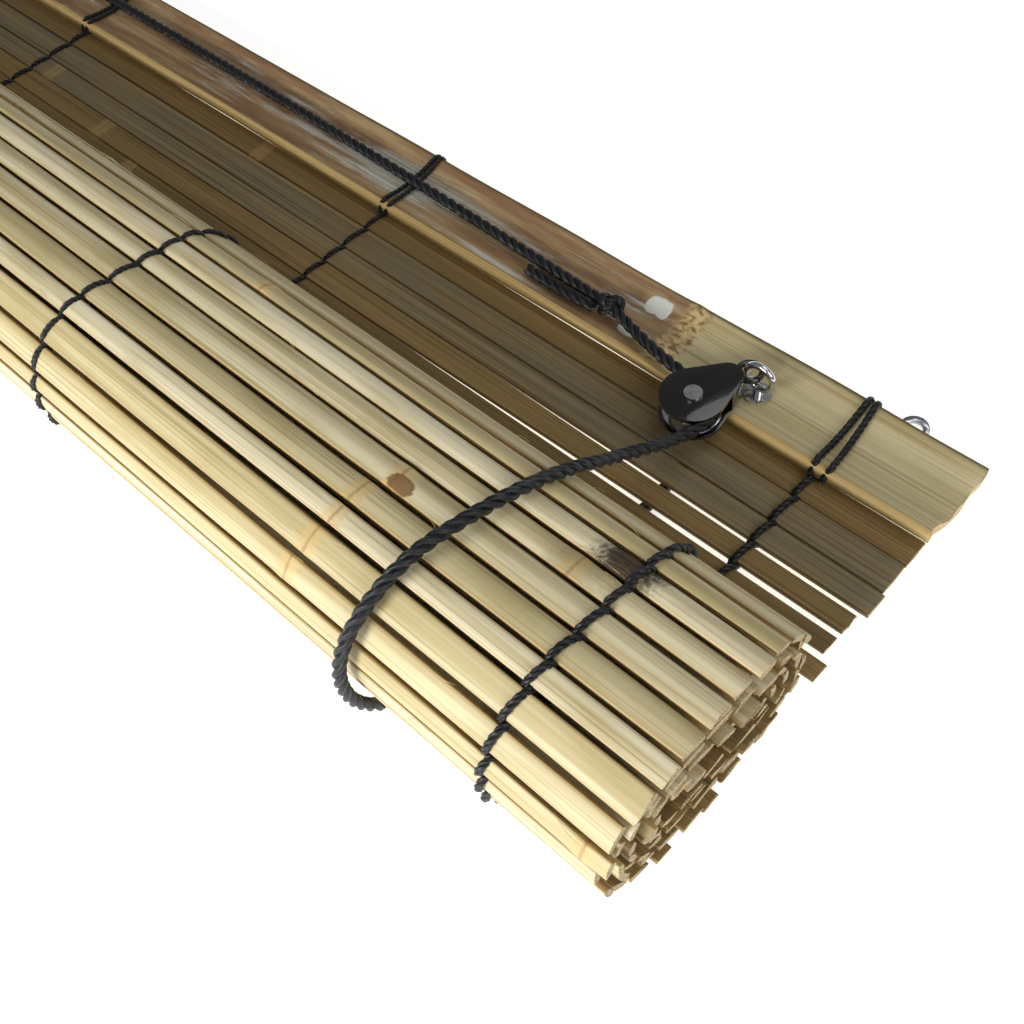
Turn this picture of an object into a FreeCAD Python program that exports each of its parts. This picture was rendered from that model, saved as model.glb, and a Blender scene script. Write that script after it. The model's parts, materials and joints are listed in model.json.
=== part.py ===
import FreeCAD
import Part
import Sketcher
import math
import os

# Roll-up blind of split bamboo, lying on its back on a table and partly rolled up.
# +X runs along the slats, the head slat is at +Y, the roll at -Y, and the table is z = 0.

doc = FreeCAD.newDocument("roll_up_blind")
sheet = doc.addObject("Spreadsheet::Sheet", "Sizes")

SIZES = [
    # alias, millimetres or a count, meaning
    ("blind_width", 800, "length of the slats"),
    ("slat_width", 7.9, "mean width of a slat"),
    ("slat_thickness", 1.8, "thickness of a slat"),
    ("slat_bevel", 0.35, "how much the pith face is set in on each side"),
    ("slat_gap", 1.0, "gap between flat neighbouring slats"),
    ("head_chord", 30, "width of the head slat"),
    ("head_wall", 3.2, "wall of the culm that the head slat is split from"),
    ("head_curve", 45, "inner radius of that culm"),
    ("head_lift", 5.6, "height of the head slat's underside"),
    ("apron_length", 110, "flat stretch from the head slat to the front of the roll"),
    ("roll_front_radius", 25.7, "centre line of the outer wrap at the front"),
    ("roll_back_radius", 24, "the same at the back"),
    ("roll_run", 31.5, "distance between the two arcs' centres"),
    ("layer_pitch", 4.7, "distance from one wrap to the next"),
    ("roll_turns", 4.52, "turns in the roll"),
    ("warp_count", 5, "rows of warp thread"),
    ("warp_overhang", 38, "slat beyond the last row"),
    ("thread_width", 1.8, "warp thread along the slat"),
    ("thread_height", 0.9, "warp thread proud of the slat"),
    ("thread_wall", 0.2, "thread squeezed between two slats"),
    ("thread_play", 0.06, "room between thread and slat"),
    ("cord_diameter", 4, "lift and pull cords"),
    ("cord_play", 0.2, "room between a cord and what it passes"),
    ("knot_radius", 4.2, "a knot in the cord"),
    ("rod_radius", 2.6, "round cane rods at the blind's lower edge"),
    ("rod_inset", 3, "from the slat's end to the rod's"),
    ("pulley_inset", 67, "screw eye from the slat's end"),
    ("screw_radius", 1.6, "shank of the screw eye"),
    ("eye_radius", 4.6, "centre line of the screw eye's ring"),
    ("eye_wire", 1.1, "radius of the ring's wire"),
    ("screw_play", 0.1, "room round the shank"),
    ("loop_radius", 3.6, "centre line of the pulley's loop"),
    ("loop_wire", 1.0, "radius of the loop's wire"),
    ("cheek_radius", 10, "round end of a pulley cheek"),
    ("cheek_wall", 1.2, "cheek plate"),
    ("sheave_radius", 8.8, "rim of the sheave"),
    ("sheave_root", 5.1, "bottom of the groove"),
    ("sheave_width", 6.2, "sheave along its axle"),
    ("sheave_play", 0.3, "room between sheave and cheek"),
    ("axle_radius", 1.5, "rivet that the sheave turns on"),
    ("axle_play", 0.06, "running clearance on that rivet"),
    ("sheave_reach", 21, "from the loop's centre to the sheave's"),
    ("flange_radius", 4.2, "flange under the ring"),
    ("flange_height", 1.2, "the same along the shank"),
    ("washer_radius", 5, "washer on the shank's end, behind the head slat"),
    ("washer_height", 1, "the same along the shank"),
    ("rivet_radius", 2.8, "heads of that rivet"),
    ("rivet_height", 0.9, "the same along the axle"),
    ("hanger_inset", 25, "hanger plate from the slat's end"),
    ("hanger_wall", 1.5, "hanger plate"),
    ("hanger_hole", 2.5, "radius of the hole that goes on the hook"),
    ("hanger_edge", 2, "metal round that hole"),
    ("hanger_grip", 12, "from the hole to the middle of the fixed end"),
    ("tack_radius", 1, "tacks that hold the hanger plate"),
    ("tack_spacing", 6, "between the two tacks"),
    ("coil_turns", 12, "turns in each put-away coil"),
    ("coil_columns", 3, "turns side by side"),
    ("coil_radius", 23, "middle of the turns"),
    ("tie_wall", 0.8, "tie round the coil"),
    ("tie_width", 4, "the same along the cord"),
]
for row, (alias, value, meaning) in enumerate(SIZES, start=1):
    sheet.set("A%d" % row, alias)
    sheet.set("B%d" % row, str(value))
    sheet.setAlias("B%d" % row, alias)
    sheet.set("C%d" % row, meaning)
doc.recompute()


def size(alias):
    return float(sheet.get(alias))


NODES = {}


def add_shape(name, shape):
    """A sub-part whose shape is built here from the sheet's sizes."""
    node = doc.addObject("Part::Feature", name)
    node.Label = name
    node.Shape = shape
    NODES[name] = node
    return node


def keep(name, node):
    node.Label = name
    NODES[name] = node
    return node


def vec(x, y, z):
    return FreeCAD.Vector(x, y, z)


# ---------------------------------------------------------------- the layout across the slats

SLAT = size("slat_thickness")
CORD = size("cord_diameter")
PITCH = size("layer_pitch")
SHEET_Z = CORD + size("cord_play") + SLAT / 2
FRONT_R = size("roll_front_radius")
BACK_R = size("roll_back_radius")
RUN = size("roll_run")
STEP = 0.25

# The overall depth is known before anything is placed, so that the origin can sit in its middle.
thread_proud = size("thread_play") + size("thread_height")
hanger_reach = size("hanger_hole") + size("hanger_edge")
hanger_proud = size("hanger_hole") + hanger_reach
depth_front = size("apron_length") + FRONT_R + SLAT / 2 + thread_proud
depth_back = size("head_chord") + hanger_proud
HEAD_Y = (depth_front - depth_back) / 2
FRONT_Y = HEAD_Y - size("apron_length")


def roll_base():
    """Closed outline of the outer wrap: (y, z, outward y, outward z) every STEP, and its bottom run."""
    front = (FRONT_Y, SHEET_Z + FRONT_R)
    back = (FRONT_Y + RUN, SHEET_Z + BACK_R)
    slope = 2 * math.atan2(FRONT_R - BACK_R, RUN)
    outline = []

    def arc(centre, radius, start, sweep):
        count = int(radius * sweep / STEP)
        for k in range(count):
            turn = start - sweep * k / count
            out = (math.cos(turn), math.sin(turn))
            outline.append((centre[0] + radius * out[0], centre[1] + radius * out[1]) + out)

    def line(start, end, out):
        count = int(math.dist(start, end) / STEP)
        for k in range(count):
            part = k / count
            y = start[0] + (end[0] - start[0]) * part
            z = start[1] + (end[1] - start[1]) * part
            outline.append((y, z) + out)

    arc(front, FRONT_R, -math.pi / 2, math.pi + slope)
    top = (math.sin(slope), math.cos(slope))
    line((front[0] + FRONT_R * top[0], front[1] + FRONT_R * top[1]),
         (back[0] + BACK_R * top[0], back[1] + BACK_R * top[1]), top)
    arc(back, BACK_R, math.pi / 2 - slope, math.pi - slope)
    closing = len(outline)
    line((back[0], SHEET_Z), (front[0], SHEET_Z), (0.0, -1.0))
    return outline, closing


def sheet_path():
    """Points along the bamboo sheet from the head slat, flat and then round the roll."""
    path = []
    flat = size("apron_length") - size("slat_gap")
    for k in range(int(flat / STEP)):
        path.append((HEAD_Y - size("slat_gap") - k * STEP, SHEET_Z))
    outline, closing = roll_base()
    for k in range(int(size("roll_turns") * len(outline))):
        turn, place = divmod(k, len(outline))
        depth = PITCH * (turn + min(1.0, place / closing))
        y, z, out_y, out_z = outline[place]
        path.append((y - depth * out_y, z - depth * out_z))
    return path


# Uneven widths and cut ends, as split bamboo has; the two patterns repeat at different lengths.
WIDTHS = (0.84, 1.26, 1.0, 1.05, 0.8, 1.04, 1.14, 0.9)
END_CUTS = (0.0, 1.4, 0.5, 2.0, 0.9)

# A slat is this share of the mean width wherever the path turns by more than TIGHT radians under it.
NARROW = 0.72
TIGHT = 0.19


def heading(slat):
    (y0, z0), (y1, z1) = slat
    return math.atan2(z1 - z0, y1 - y0)


def across_slat(slat, corners):
    """Corners given along a slat's width and out from its middle, as (y, z) points."""
    (y0, z0), (y1, z1) = slat
    width = math.dist(slat[0], slat[1])
    along = ((y1 - y0) / width, (z1 - z0) / width)
    out = (-along[1], along[0])
    middle = ((y0 + y1) / 2, (z0 + z1) / 2)
    return [(middle[0] + a * along[0] + n * out[0], middle[1] + a * along[1] + n * out[1])
            for a, n in corners]


def trapezoid(slat, play):
    """A slat's section, wider at its skin than at its pith, with room for a thread round it."""
    skin = math.dist(slat[0], slat[1]) / 2 + play
    pith = skin - size("slat_bevel")
    high = SLAT / 2 + play
    return across_slat(slat, [(-skin, high), (skin, high), (pith, -high), (-pith, -high)])


def stitch_outline(slat):
    """The outside of a thread round a slat: thin at the slat's edges and arched over its faces."""
    skin = math.dist(slat[0], slat[1]) / 2 + size("thread_play") + size("thread_wall")
    pith = skin - size("slat_bevel")
    high = SLAT / 2
    top = high + thread_proud
    slope = thread_proud / 2
    return across_slat(slat, [(-skin + slope, top), (skin - slope, top), (skin, high), (pith, -high),
                              (pith - slope, -top), (-pith + slope, -top), (-pith, -high), (-skin, high)])


def chord_end(path, start, width):
    end = start
    while end < len(path) and math.dist(path[start], path[end]) < width:
        end += 1
    return end


def stitches_clear(before, after):
    """True when the threads round two neighbouring slats do not meet in the gap between them."""
    first = stitch_outline(before)
    second = stitch_outline(after)
    way = (heading(before) + math.remainder(heading(after) - heading(before), 2 * math.pi) / 2)
    ahead = (math.cos(way), math.sin(way))
    edges = ((first[1], second[0]), (first[2], second[7]), (first[3], second[6]), (first[4], second[5]))
    room = min((b[0] - a[0]) * ahead[0] + (b[1] - a[1]) * ahead[1] for a, b in edges)
    return room > size("thread_play")


def place_slats():
    """Slats end to end along the path, each a chord; narrow ones go where the path bends most."""
    path = sheet_path()
    slats = []
    start = 0
    while True:
        width = size("slat_width") * WIDTHS[len(slats) % len(WIDTHS)]
        end = chord_end(path, start, width)
        if end < len(path):
            bend = abs(math.remainder(heading((path[start], path[end]))
                                      - heading((path[start], path[start + 2])), 2 * math.pi))
            if bend > TIGHT:
                end = chord_end(path, start, size("slat_width") * NARROW)
        if end >= len(path):
            return slats
        slat = (path[start], path[end])
        if slats and not stitches_clear(slats[-1], slat):
            start += 1
            continue
        slats.append(slat)
        start = chord_end(path, end, size("slat_gap"))
        if start >= len(path) - 2:
            return slats


SLATS = place_slats()
APRON = sum(1 for start, end in SLATS if (start[0] + end[0]) / 2 > FRONT_Y and start[1] == SHEET_Z
            and end[1] == SHEET_Z)
LINKS = 5
PER_LINK = 2


def prism(corners, x0, x1, hole=None):
    """Solid along X over a closed (y, z) outline, with a closed outline taken out of it."""
    length = vec(x1 - x0, 0, 0)
    faces = []
    for loop in (corners, hole):
        if loop:
            points = [vec(x0, y, z) for y, z in loop]
            faces.append(Part.Face(Part.makePolygon(points + points[:1])))
    if hole:
        return faces[0].cut(faces[1]).Faces[0].extrude(length)
    return faces[0].extrude(length)


HALF = size("blind_width") / 2
WARPS = int(size("warp_count"))
WARP_X = [-HALF + size("warp_overhang") + k * (2 * HALF - 2 * size("warp_overhang")) / (WARPS - 1)
          for k in range(WARPS)]


def slat_solids(first, last):
    solids = []
    for number in range(first, last):
        cut = END_CUTS[number % len(END_CUTS)]
        solids.append(prism(trapezoid(SLATS[number], 0), -HALF + cut, HALF - cut))
    return solids


def stitch_solids(first, last):
    play = size("thread_play")
    solids = []
    for slat in SLATS[first:last]:
        inside = trapezoid(slat, play)
        outside = stitch_outline(slat)
        for x in WARP_X:
            half = size("thread_width") / 2
            solids.append(prism(outside, x - half, x + half, inside))
    return solids


def add_sheet_part(name, first, last):
    add_shape(name + "_slats", Part.makeCompound(slat_solids(first, last)))
    add_shape(name + "_stitches", Part.makeCompound(stitch_solids(first, last)))


CORE = APRON + LINKS * PER_LINK


def build_sheet():
    add_sheet_part("apron", 0, APRON)
    for link in range(LINKS):
        start = APRON + link * PER_LINK
        add_sheet_part("wrap_%d" % (link + 1), start, start + PER_LINK)
    add_sheet_part("core", CORE, len(SLATS))


def link_hinges():
    """(y, z, opening angle) of each hinge from the apron to the core."""
    groups = [[APRON - 1]]
    for link in range(LINKS):
        first = APRON + link * PER_LINK
        groups.append(list(range(first, first + PER_LINK)))
    groups.append([CORE, CORE + 1])
    hinges = []
    for before, after in zip(groups, groups[1:]):
        near = SLATS[before[-1]][1]
        far = SLATS[after[0]][0]
        opening = math.remainder(mean_heading(before) - mean_heading(after), 2 * math.pi)
        hinges.append(((near[0] + far[0]) / 2, (near[1] + far[1]) / 2, opening))
    return hinges


def mean_heading(numbers):
    first = heading(SLATS[numbers[0]])
    turned = [math.remainder(heading(SLATS[k]) - first, 2 * math.pi) for k in numbers]
    return first + sum(turned) / len(turned)


# ---------------------------------------------------------------- parametric primitives

UP = vec(0, 0, 1)
ALONG = vec(1, 0, 0)


def cylinder(name, radius, height, base, axis=UP):
    """A cylinder whose radius and height are formulas in the sheet's aliases."""
    rod = doc.addObject("Part::Cylinder", name)
    rod.setExpression("Radius", radius)
    rod.setExpression("Height", height)
    rod.Placement = FreeCAD.Placement(base, FreeCAD.Rotation(UP, axis))
    return rod


def torus(name, major, minor, centre, axis=UP):
    ring = doc.addObject("Part::Torus", name)
    ring.setExpression("Radius1", major)
    ring.setExpression("Radius2", minor)
    ring.Placement = FreeCAD.Placement(centre, FreeCAD.Rotation(UP, axis))
    return ring


def cut(name, base, tool):
    result = doc.addObject("Part::Cut", name)
    result.Base = base
    result.Tool = tool
    return result


def fuse(name, parts):
    result = doc.addObject("Part::MultiFuse", name)
    result.Shapes = parts
    return result


def circle_at(sketch, x, y, radius):
    """A circle whose radius follows a formula in the sheet's aliases."""
    number = sketch.addGeometry(Part.Circle(vec(x, y, 0), UP, 1), False)
    constraint = sketch.addConstraint(Sketcher.Constraint("Radius", number, 1))
    sketch.setExpression("Constraints[%d]" % constraint, radius)
    return number


def new_sketch(body, name, plane):
    sketch = body.newObject("Sketcher::SketchObject", name)
    face = [f for f in body.Origin.OriginFeatures if f.Role == plane][0]
    sketch.AttachmentSupport = (face, [""])
    sketch.MapMode = "FlatFace"
    return sketch


def add_outline(sketch, points):
    """Closed outline of straight edges, its corners joined."""
    first = None
    count = len(points)
    for k in range(count):
        a = vec(points[k][0], points[k][1], 0)
        b = vec(points[(k + 1) % count][0], points[(k + 1) % count][1], 0)
        edge = sketch.addGeometry(Part.LineSegment(a, b), False)
        first = edge if first is None else first
    for k in range(count):
        sketch.addConstraint(Sketcher.Constraint("Coincident", first + k, 2, first + (k + 1) % count, 1))
    return first


def add_slot_outline(sketch, big, small, distance):
    """Egg outline: round ends of radius `big` at the origin and `small` at +Y `distance`."""
    lean = math.asin((big - small) / distance)
    side = (math.cos(lean), math.sin(lean))
    right_low = vec(big * side[0], big * side[1], 0)
    right_high = vec(small * side[0], distance + small * side[1], 0)
    left_low = vec(-right_low.x, right_low.y, 0)
    left_high = vec(-right_high.x, right_high.y, 0)
    bottom = Part.Arc(left_low, vec(0, -big, 0), right_low)
    top = Part.Arc(right_high, vec(0, distance + small, 0), left_high)
    for curve in (bottom, Part.LineSegment(right_low, right_high), top,
                  Part.LineSegment(left_high, left_low)):
        sketch.addGeometry(curve, False)


# ---------------------------------------------------------------- head slat and what is fixed to it

HEAD_MID = HEAD_Y + size("head_chord") / 2
CULM_Z = size("head_lift") + size("head_wall") + size("head_curve")


def head_top(y):
    return CULM_Z - math.sqrt(size("head_curve") ** 2 - (y - HEAD_MID) ** 2)


SCREW_X = HALF - size("pulley_inset")
SCREW_Y = HEAD_MID - 2
FLANGE_Z = head_top(SCREW_Y - size("flange_radius"))
BARE_SHANK = 1.2
EYE_Z = FLANGE_Z + size("flange_height") + BARE_SHANK + size("eye_wire") + size("eye_radius")
HANGER_X = HALF - size("hanger_inset")
HANGER_SEAT = 0.05
HANGER_FLARE = 0.8


def hanger_place(side, down):
    """Frame of a hanger plate: on the head slat's back, tilted with the culm; `down` is below it."""
    hole_y = HEAD_Y + size("head_chord") + size("hanger_hole")
    hold_y = hole_y - size("hanger_grip")
    culm = size("head_curve") + size("head_wall") + HANGER_SEAT
    lean = math.asin((hold_y - HEAD_MID) / culm)
    turn = FreeCAD.Rotation(ALONG, math.degrees(lean))
    touch = vec(side * HANGER_X, HEAD_MID + culm * math.sin(lean), CULM_Z - culm * math.cos(lean))
    return FreeCAD.Placement(touch + turn.multVec(vec(0, 0, -down)), turn)


def build_head_slat():
    outer = cylinder("culm_outside", "Sizes.head_curve + Sizes.head_wall", "Sizes.blind_width",
                     vec(-HALF, HEAD_MID, CULM_Z), ALONG)
    inner = cylinder("culm_inside", "Sizes.head_curve", "Sizes.blind_width",
                     vec(-HALF, HEAD_MID, CULM_Z), ALONG)
    wall = cut("culm_wall", outer, inner)
    stock = doc.addObject("Part::Box", "head_stock")
    stock.setExpression("Length", "Sizes.blind_width")
    stock.setExpression("Width", "Sizes.head_chord")
    stock.setExpression("Height", "Sizes.head_curve")
    stock.Placement = FreeCAD.Placement(vec(-HALF, HEAD_Y, 0), FreeCAD.Rotation())
    strip = doc.addObject("Part::Common", "head_strip")
    strip.Base = wall
    strip.Tool = stock
    holes = []
    for side in (-1, 1):
        holes.append(cylinder("screw_hole", "Sizes.screw_radius + Sizes.screw_play", "Sizes.head_curve",
                              vec(side * SCREW_X, SCREW_Y, 0)))
        for end in (-1, 1):
            holes.append(tack_pin("tack_hole", side, end))
    drilled = cut("head_slat", strip, fuse("head_holes", holes))
    keep("head_slat", drilled)


def tack_pin(name, side, end):
    """Shank of a tack: through the hanger plate and most of the culm wall."""
    pin = doc.addObject("Part::Cylinder", name)
    pin.setExpression("Radius", "Sizes.tack_radius")
    pin.setExpression("Height", "Sizes.hanger_wall + Sizes.head_wall * 0.6")
    place = hanger_place(side, size("hanger_wall"))
    shift = FreeCAD.Placement(vec(0, end * size("tack_spacing") / 2, 0), FreeCAD.Rotation())
    pin.Placement = place.multiply(shift)
    return pin


TACK_HEAD_HEIGHT = 0.7


def build_tacks(side, word):
    parts = []
    for end in (-1, 1):
        parts.append(tack_pin("tack_pin", side, end))
        head = doc.addObject("Part::Cylinder", "tack_head")
        head.setExpression("Radius", "Sizes.tack_radius * 2")
        head.Height = TACK_HEAD_HEIGHT
        place = hanger_place(side, size("hanger_wall") + TACK_HEAD_HEIGHT)
        shift = FreeCAD.Placement(vec(0, end * size("tack_spacing") / 2, 0), FreeCAD.Rotation())
        head.Placement = place.multiply(shift)
        parts.append(head)
    keep("hanger_tacks_" + word, fuse("hanger_tacks_" + word, parts))


def build_hanger(side, word):
    body = doc.addObject("PartDesign::Body", "hanger_" + word)
    plate = new_sketch(body, "plate_outline", "XY_Plane")
    tip = size("hanger_hole") + size("hanger_edge")
    add_slot_outline(plate, tip + HANGER_FLARE, tip, size("hanger_grip"))
    pad = body.newObject("PartDesign::Pad", "plate")
    pad.Profile = plate
    pad.setExpression("Length", "Sizes.hanger_wall")
    doc.recompute()
    holes = new_sketch(body, "plate_holes", "XY_Plane")
    circle_at(holes, 0, size("hanger_grip"), "Sizes.hanger_hole")
    for end in (-1, 1):
        circle_at(holes, 0, end * size("tack_spacing") / 2, "Sizes.tack_radius")
    pocket = body.newObject("PartDesign::Pocket", "hole_cuts")
    pocket.Profile = holes
    pocket.Type = "ThroughAll"
    pocket.Midplane = True
    body.Tip = pocket
    body.Placement = hanger_place(side, size("hanger_wall"))
    keep("hanger_" + word, body)


def build_screw_eye(side, word):
    x = side * SCREW_X
    shank = cylinder("shank", "Sizes.screw_radius", "%f - Sizes.eye_radius" % EYE_Z, vec(x, SCREW_Y, 0))
    ring = torus("ring", "Sizes.eye_radius", "Sizes.eye_wire", vec(x, SCREW_Y, EYE_Z), vec(0, 1, 0))
    keep("screw_eye_" + word, fuse("screw_eye_" + word, [shank, ring]))
    for name, radius, height, z in (("eye_flange_", "flange_radius", "flange_height", FLANGE_Z),
                                    ("back_washer_", "washer_radius", "washer_height", 0)):
        disc = cylinder("disc", "Sizes." + radius, "Sizes." + height, vec(x, SCREW_Y, z))
        hole = cylinder("disc_hole", "Sizes.screw_radius", "Sizes." + height, vec(x, SCREW_Y, z))
        keep(name + word, cut(name + word, disc, hole))


def head_outline(near, far, face):
    """The head slat's section, grown at its near and far edges and at its faces."""
    steps = 10
    low_y = HEAD_Y - near
    high_y = HEAD_Y + size("head_chord") + far
    outline = []
    for radius, order in ((size("head_curve") + size("head_wall") + face, range(steps + 1)),
                          (size("head_curve") - face, range(steps, -1, -1))):
        for k in order:
            y = low_y + (high_y - low_y) * k / steps
            outline.append((y, CULM_Z - math.sqrt(radius ** 2 - (y - HEAD_MID) ** 2)))
    return outline


CURVE_PLAY = 0.06


def build_head_stitches():
    """A loop of warp thread round the head slat at each row; its sides follow the curved faces."""
    play = size("thread_play")
    inside = head_outline(play, play, play + CURVE_PLAY)
    outside = head_outline(play + size("thread_wall"), thread_proud, thread_proud)
    half = size("thread_width") / 2
    loops = [prism(outside, x - half, x + half, inside) for x in WARP_X]
    add_shape("head_stitches", Part.makeCompound(loops))


# ---------------------------------------------------------------- pulleys

PULLEY_LEAN = 15.7
NECK_REACH = 0.84
NECK_WIDTH = 0.46
SLOT = size("sheave_width") + 2 * size("sheave_play")
LEVEL_RISE = SLOT + size("cheek_wall")


def pulley_place(side, rise=0.0):
    """The pulley's loop hooks into the screw eye's ring; its nose points down the sheet."""
    x = side * (SCREW_X - size("loop_radius"))
    return FreeCAD.Placement(vec(x, SCREW_Y, EYE_Z + rise), FreeCAD.Rotation(UP, -side * PULLEY_LEAN))


def axle_centre(side):
    return pulley_place(side).multVec(vec(0, -size("sheave_reach"), 0))


def build_pulley(side, word, levels):
    """Case with a slot for each sheave, milled from one block, and a loop at its top."""
    low = -SLOT / 2 - size("cheek_wall")
    high = low + levels * LEVEL_RISE + size("cheek_wall")
    body = doc.addObject("PartDesign::Body", "pulley_block_" + word)
    outline = new_sketch(body, "cheek_outline", "XY_Plane")
    neck = size("sheave_reach") - size("cheek_radius") * NECK_REACH
    add_slot_outline(outline, size("cheek_radius"), size("cheek_radius") * NECK_WIDTH, neck)
    outline.AttachmentOffset = FreeCAD.Placement(vec(0, -size("sheave_reach"), low), FreeCAD.Rotation())
    pad = body.newObject("PartDesign::Pad", "block")
    pad.Profile = outline
    pad.Length = high - low
    doc.recompute()
    slot_top = -(size("sheave_reach") - size("sheave_root") - CORD - 3 * size("cord_play"))
    slot_low = -size("sheave_reach") - 2 * size("cheek_radius")
    wide = 2 * size("cheek_radius")
    for level in range(levels):
        slot = new_sketch(body, "slot_%d" % level, "XY_Plane")
        add_outline(slot, [(-wide, slot_low), (wide, slot_low), (wide, slot_top), (-wide, slot_top)])
        slot.AttachmentOffset = FreeCAD.Placement(vec(0, 0, level * LEVEL_RISE), FreeCAD.Rotation())
        pocket = body.newObject("PartDesign::Pocket", "slot_cut_%d" % level)
        pocket.Profile = slot
        pocket.Midplane = True
        pocket.setExpression("Length", "Sizes.sheave_width + 2 * Sizes.sheave_play")
        doc.recompute()
    bore = new_sketch(body, "axle_bore", "XY_Plane")
    circle_at(bore, 0, -size("sheave_reach"), "Sizes.axle_radius")
    drilled = body.newObject("PartDesign::Pocket", "axle_bore_cut")
    drilled.Profile = bore
    drilled.Type = "ThroughAll"
    drilled.Midplane = True
    doc.recompute()
    body.Tip = drilled
    place = pulley_place(side)
    body.Placement = place
    loop = torus("loop", "Sizes.loop_radius", "Sizes.loop_wire", place.Base)
    keep("pulley_case_" + word, fuse("pulley_case_" + word, [body, loop]))
    centre = axle_centre(side)
    head = size("rivet_height")
    axle = cylinder("axle", "Sizes.axle_radius", "%f" % (high - low), centre + vec(0, 0, low))
    heads = [cylinder("rivet_head", "Sizes.rivet_radius", "Sizes.rivet_height", centre + vec(0, 0, z))
             for z in (low - head, high)]
    keep("pulley_rivet_" + word, fuse("pulley_rivet_" + word, [axle] + heads))


GROOVE_FLARE = 0.7
GROOVE_PINCH = 0.4


def build_sheave(name, side, level):
    """A wheel whose groove is wider than the cord at the rim and a little narrower at its root."""
    body = doc.addObject("PartDesign::Body", name)
    half = size("sheave_width") / 2
    bore = size("axle_radius") + size("axle_play")
    rim = size("sheave_radius")
    groove_rim = CORD / 2 + GROOVE_FLARE
    groove_root = CORD / 2 - GROOVE_PINCH
    section = new_sketch(body, "sheave_section", "XZ_Plane")
    root = size("sheave_root")
    add_outline(section, [(bore, -half), (rim, -half), (rim, -groove_rim), (root, -groove_root),
                          (root, groove_root), (rim, groove_rim), (rim, half), (bore, half)])
    turned = body.newObject("PartDesign::Revolution", "sheave_turned")
    turned.Profile = section
    turned.ReferenceAxis = (section, ["V_Axis"])
    turned.Angle = 360
    body.Placement = FreeCAD.Placement(axle_centre(side) + vec(0, 0, level * LEVEL_RISE), FreeCAD.Rotation())
    keep(name, body)


# ---------------------------------------------------------------- cords


def cord_tube(name, points, tight=None):
    """Tube along straight runs joined by tangent arcs; `tight` gives the radius at some corners."""
    tight = tight or {}
    knots = [vec(*point) for point in points]
    edges = []
    radii = []
    here = knots[0]
    for k in range(1, len(knots) - 1):
        back = (knots[k - 1] - knots[k])
        ahead = (knots[k + 1] - knots[k])
        half_turn = (math.pi - back.getAngle(ahead)) / 2
        shorter = min(back.Length, ahead.Length)
        radius = tight.get(k, 0.45 * shorter / math.tan(half_turn))
        reach = radius * math.tan(half_turn)
        radii.append(radius)
        back.normalize()
        ahead.normalize()
        into = knots[k] + back * reach
        out = knots[k] + ahead * reach
        bisector = back + ahead
        bisector.normalize()
        middle = knots[k] + bisector * (radius / math.cos(half_turn) - radius)
        if (into - here).Length > 0.001:
            edges.append(Part.LineSegment(here, into).toShape())
        edges.append(Part.Arc(into, middle, out).toShape())
        here = out
    if (knots[-1] - here).Length > 0.001:
        edges.append(Part.LineSegment(here, knots[-1]).toShape())
    wire = Part.Wire(edges)
    start = knots[0]
    section = Part.Wire(Part.Circle(start, knots[1] - start, CORD / 2).toShape())
    tube = wire.makePipeShell([section], True, True)
    expected = math.pi * (CORD / 2) ** 2 * wire.Length
    print("%s: %.0f mm, radii %s, volume %.3f of expected"
          % (name, wire.Length, [round(r, 1) for r in radii], tube.Volume / expected))
    return add_shape(name, tube)


# Routes in millimetres, chosen point by point; each tube has its arcs inside these corners.
LOOP_RIGHT = [(331.0, 43.1, 17.3), (331.0, 33.0, 17.3), (327.0, -19.0, 52.4), (323.5, -68.1, 61.2),
              (323.5, -87.6, 45.4), (326.0, -89.4, 20.4), (329.03, -72.3, 2.0), (329.2, -59.7, 2.0)]
LOOP_LEFT = [(-316.4, 43.1, 25.3), (-316.4, 33.0, 25.3), (-319.0, -19.5, 52.6), (-323.5, -68.1, 61.2),
             (-323.5, -87.6, 45.4), (-326.0, -89.4, 20.4), (-329.03, -72.3, 2.0), (-329.2, -59.7, 2.0)]
UNDER = [(329.2, 63.3, 3.3), (329.2, 58.2, 3.15), (329.3, 49.8, 2.0), (329.6, 33.0, 2.0), (329.8, 2.0, 2.0),
         (329.6, -29.0, 2.0), (329.2, -59.7, 2.0)]
PULL_RIGHT = [(331.0, 43.1, 17.3), (331.0, 50.4, 17.3), (314.0, 50.6, 16.9), (296.0, 55.0, 14.9),
              (277.0, 61.0, 13.6), (256.0, 62.6, 12.2), (216.0, 64.2, 12.0), (166.0, 65.8, 12.0),
              (112.0, 66.9, 12.0), (57.0, 67.5, 12.0), (2.0, 67.6, 12.0), (-53.0, 67.2, 12.0),
              (-108.0, 66.3, 12.0), (-162.0, 64.9, 12.0), (-214.0, 62.9, 12.1), (-252.0, 60.6, 12.6),
              (-277.0, 57.6, 13.8), (-296.0, 53.8, 15.6), (-313.0, 51.2, 16.9), (-331.0, 50.4, 17.3),
              (-331.0, 33.0, 17.2), (-333.0, 22.0, 13.2), (-341.0, 12.0, 10.8), (-354.0, 6.5, 9.8),
              (-370.0, 5.0, 9.4), (-387.0, 7.0, 9.2), (-403.0, 10.0, 8.6), (-417.0, 12.0, 5.6),
              (-431.0, 12.6, 3.0), (-444.0, 12.4, 2.0), (-457.0, 12.1, 2.2)]
PULL_LEFT = [(-316.4, 43.1, 25.3), (-316.4, 50.4, 25.3), (-331.0, 50.4, 25.3), (-331.0, 33.0, 25.0),
             (-332.0, 24.5, 21.0), (-337.0, 19.3, 15.8), (-347.0, 16.6, 11.8), (-361.0, 15.8, 10.0),
             (-378.0, 16.6, 9.4), (-395.0, 19.0, 9.0), (-408.0, 21.6, 7.6), (-422.0, 23.6, 4.4),
             (-437.0, 24.4, 2.4), (-447.0, 24.4, 2.0), (-457.0, 24.1, 2.2)]
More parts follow.
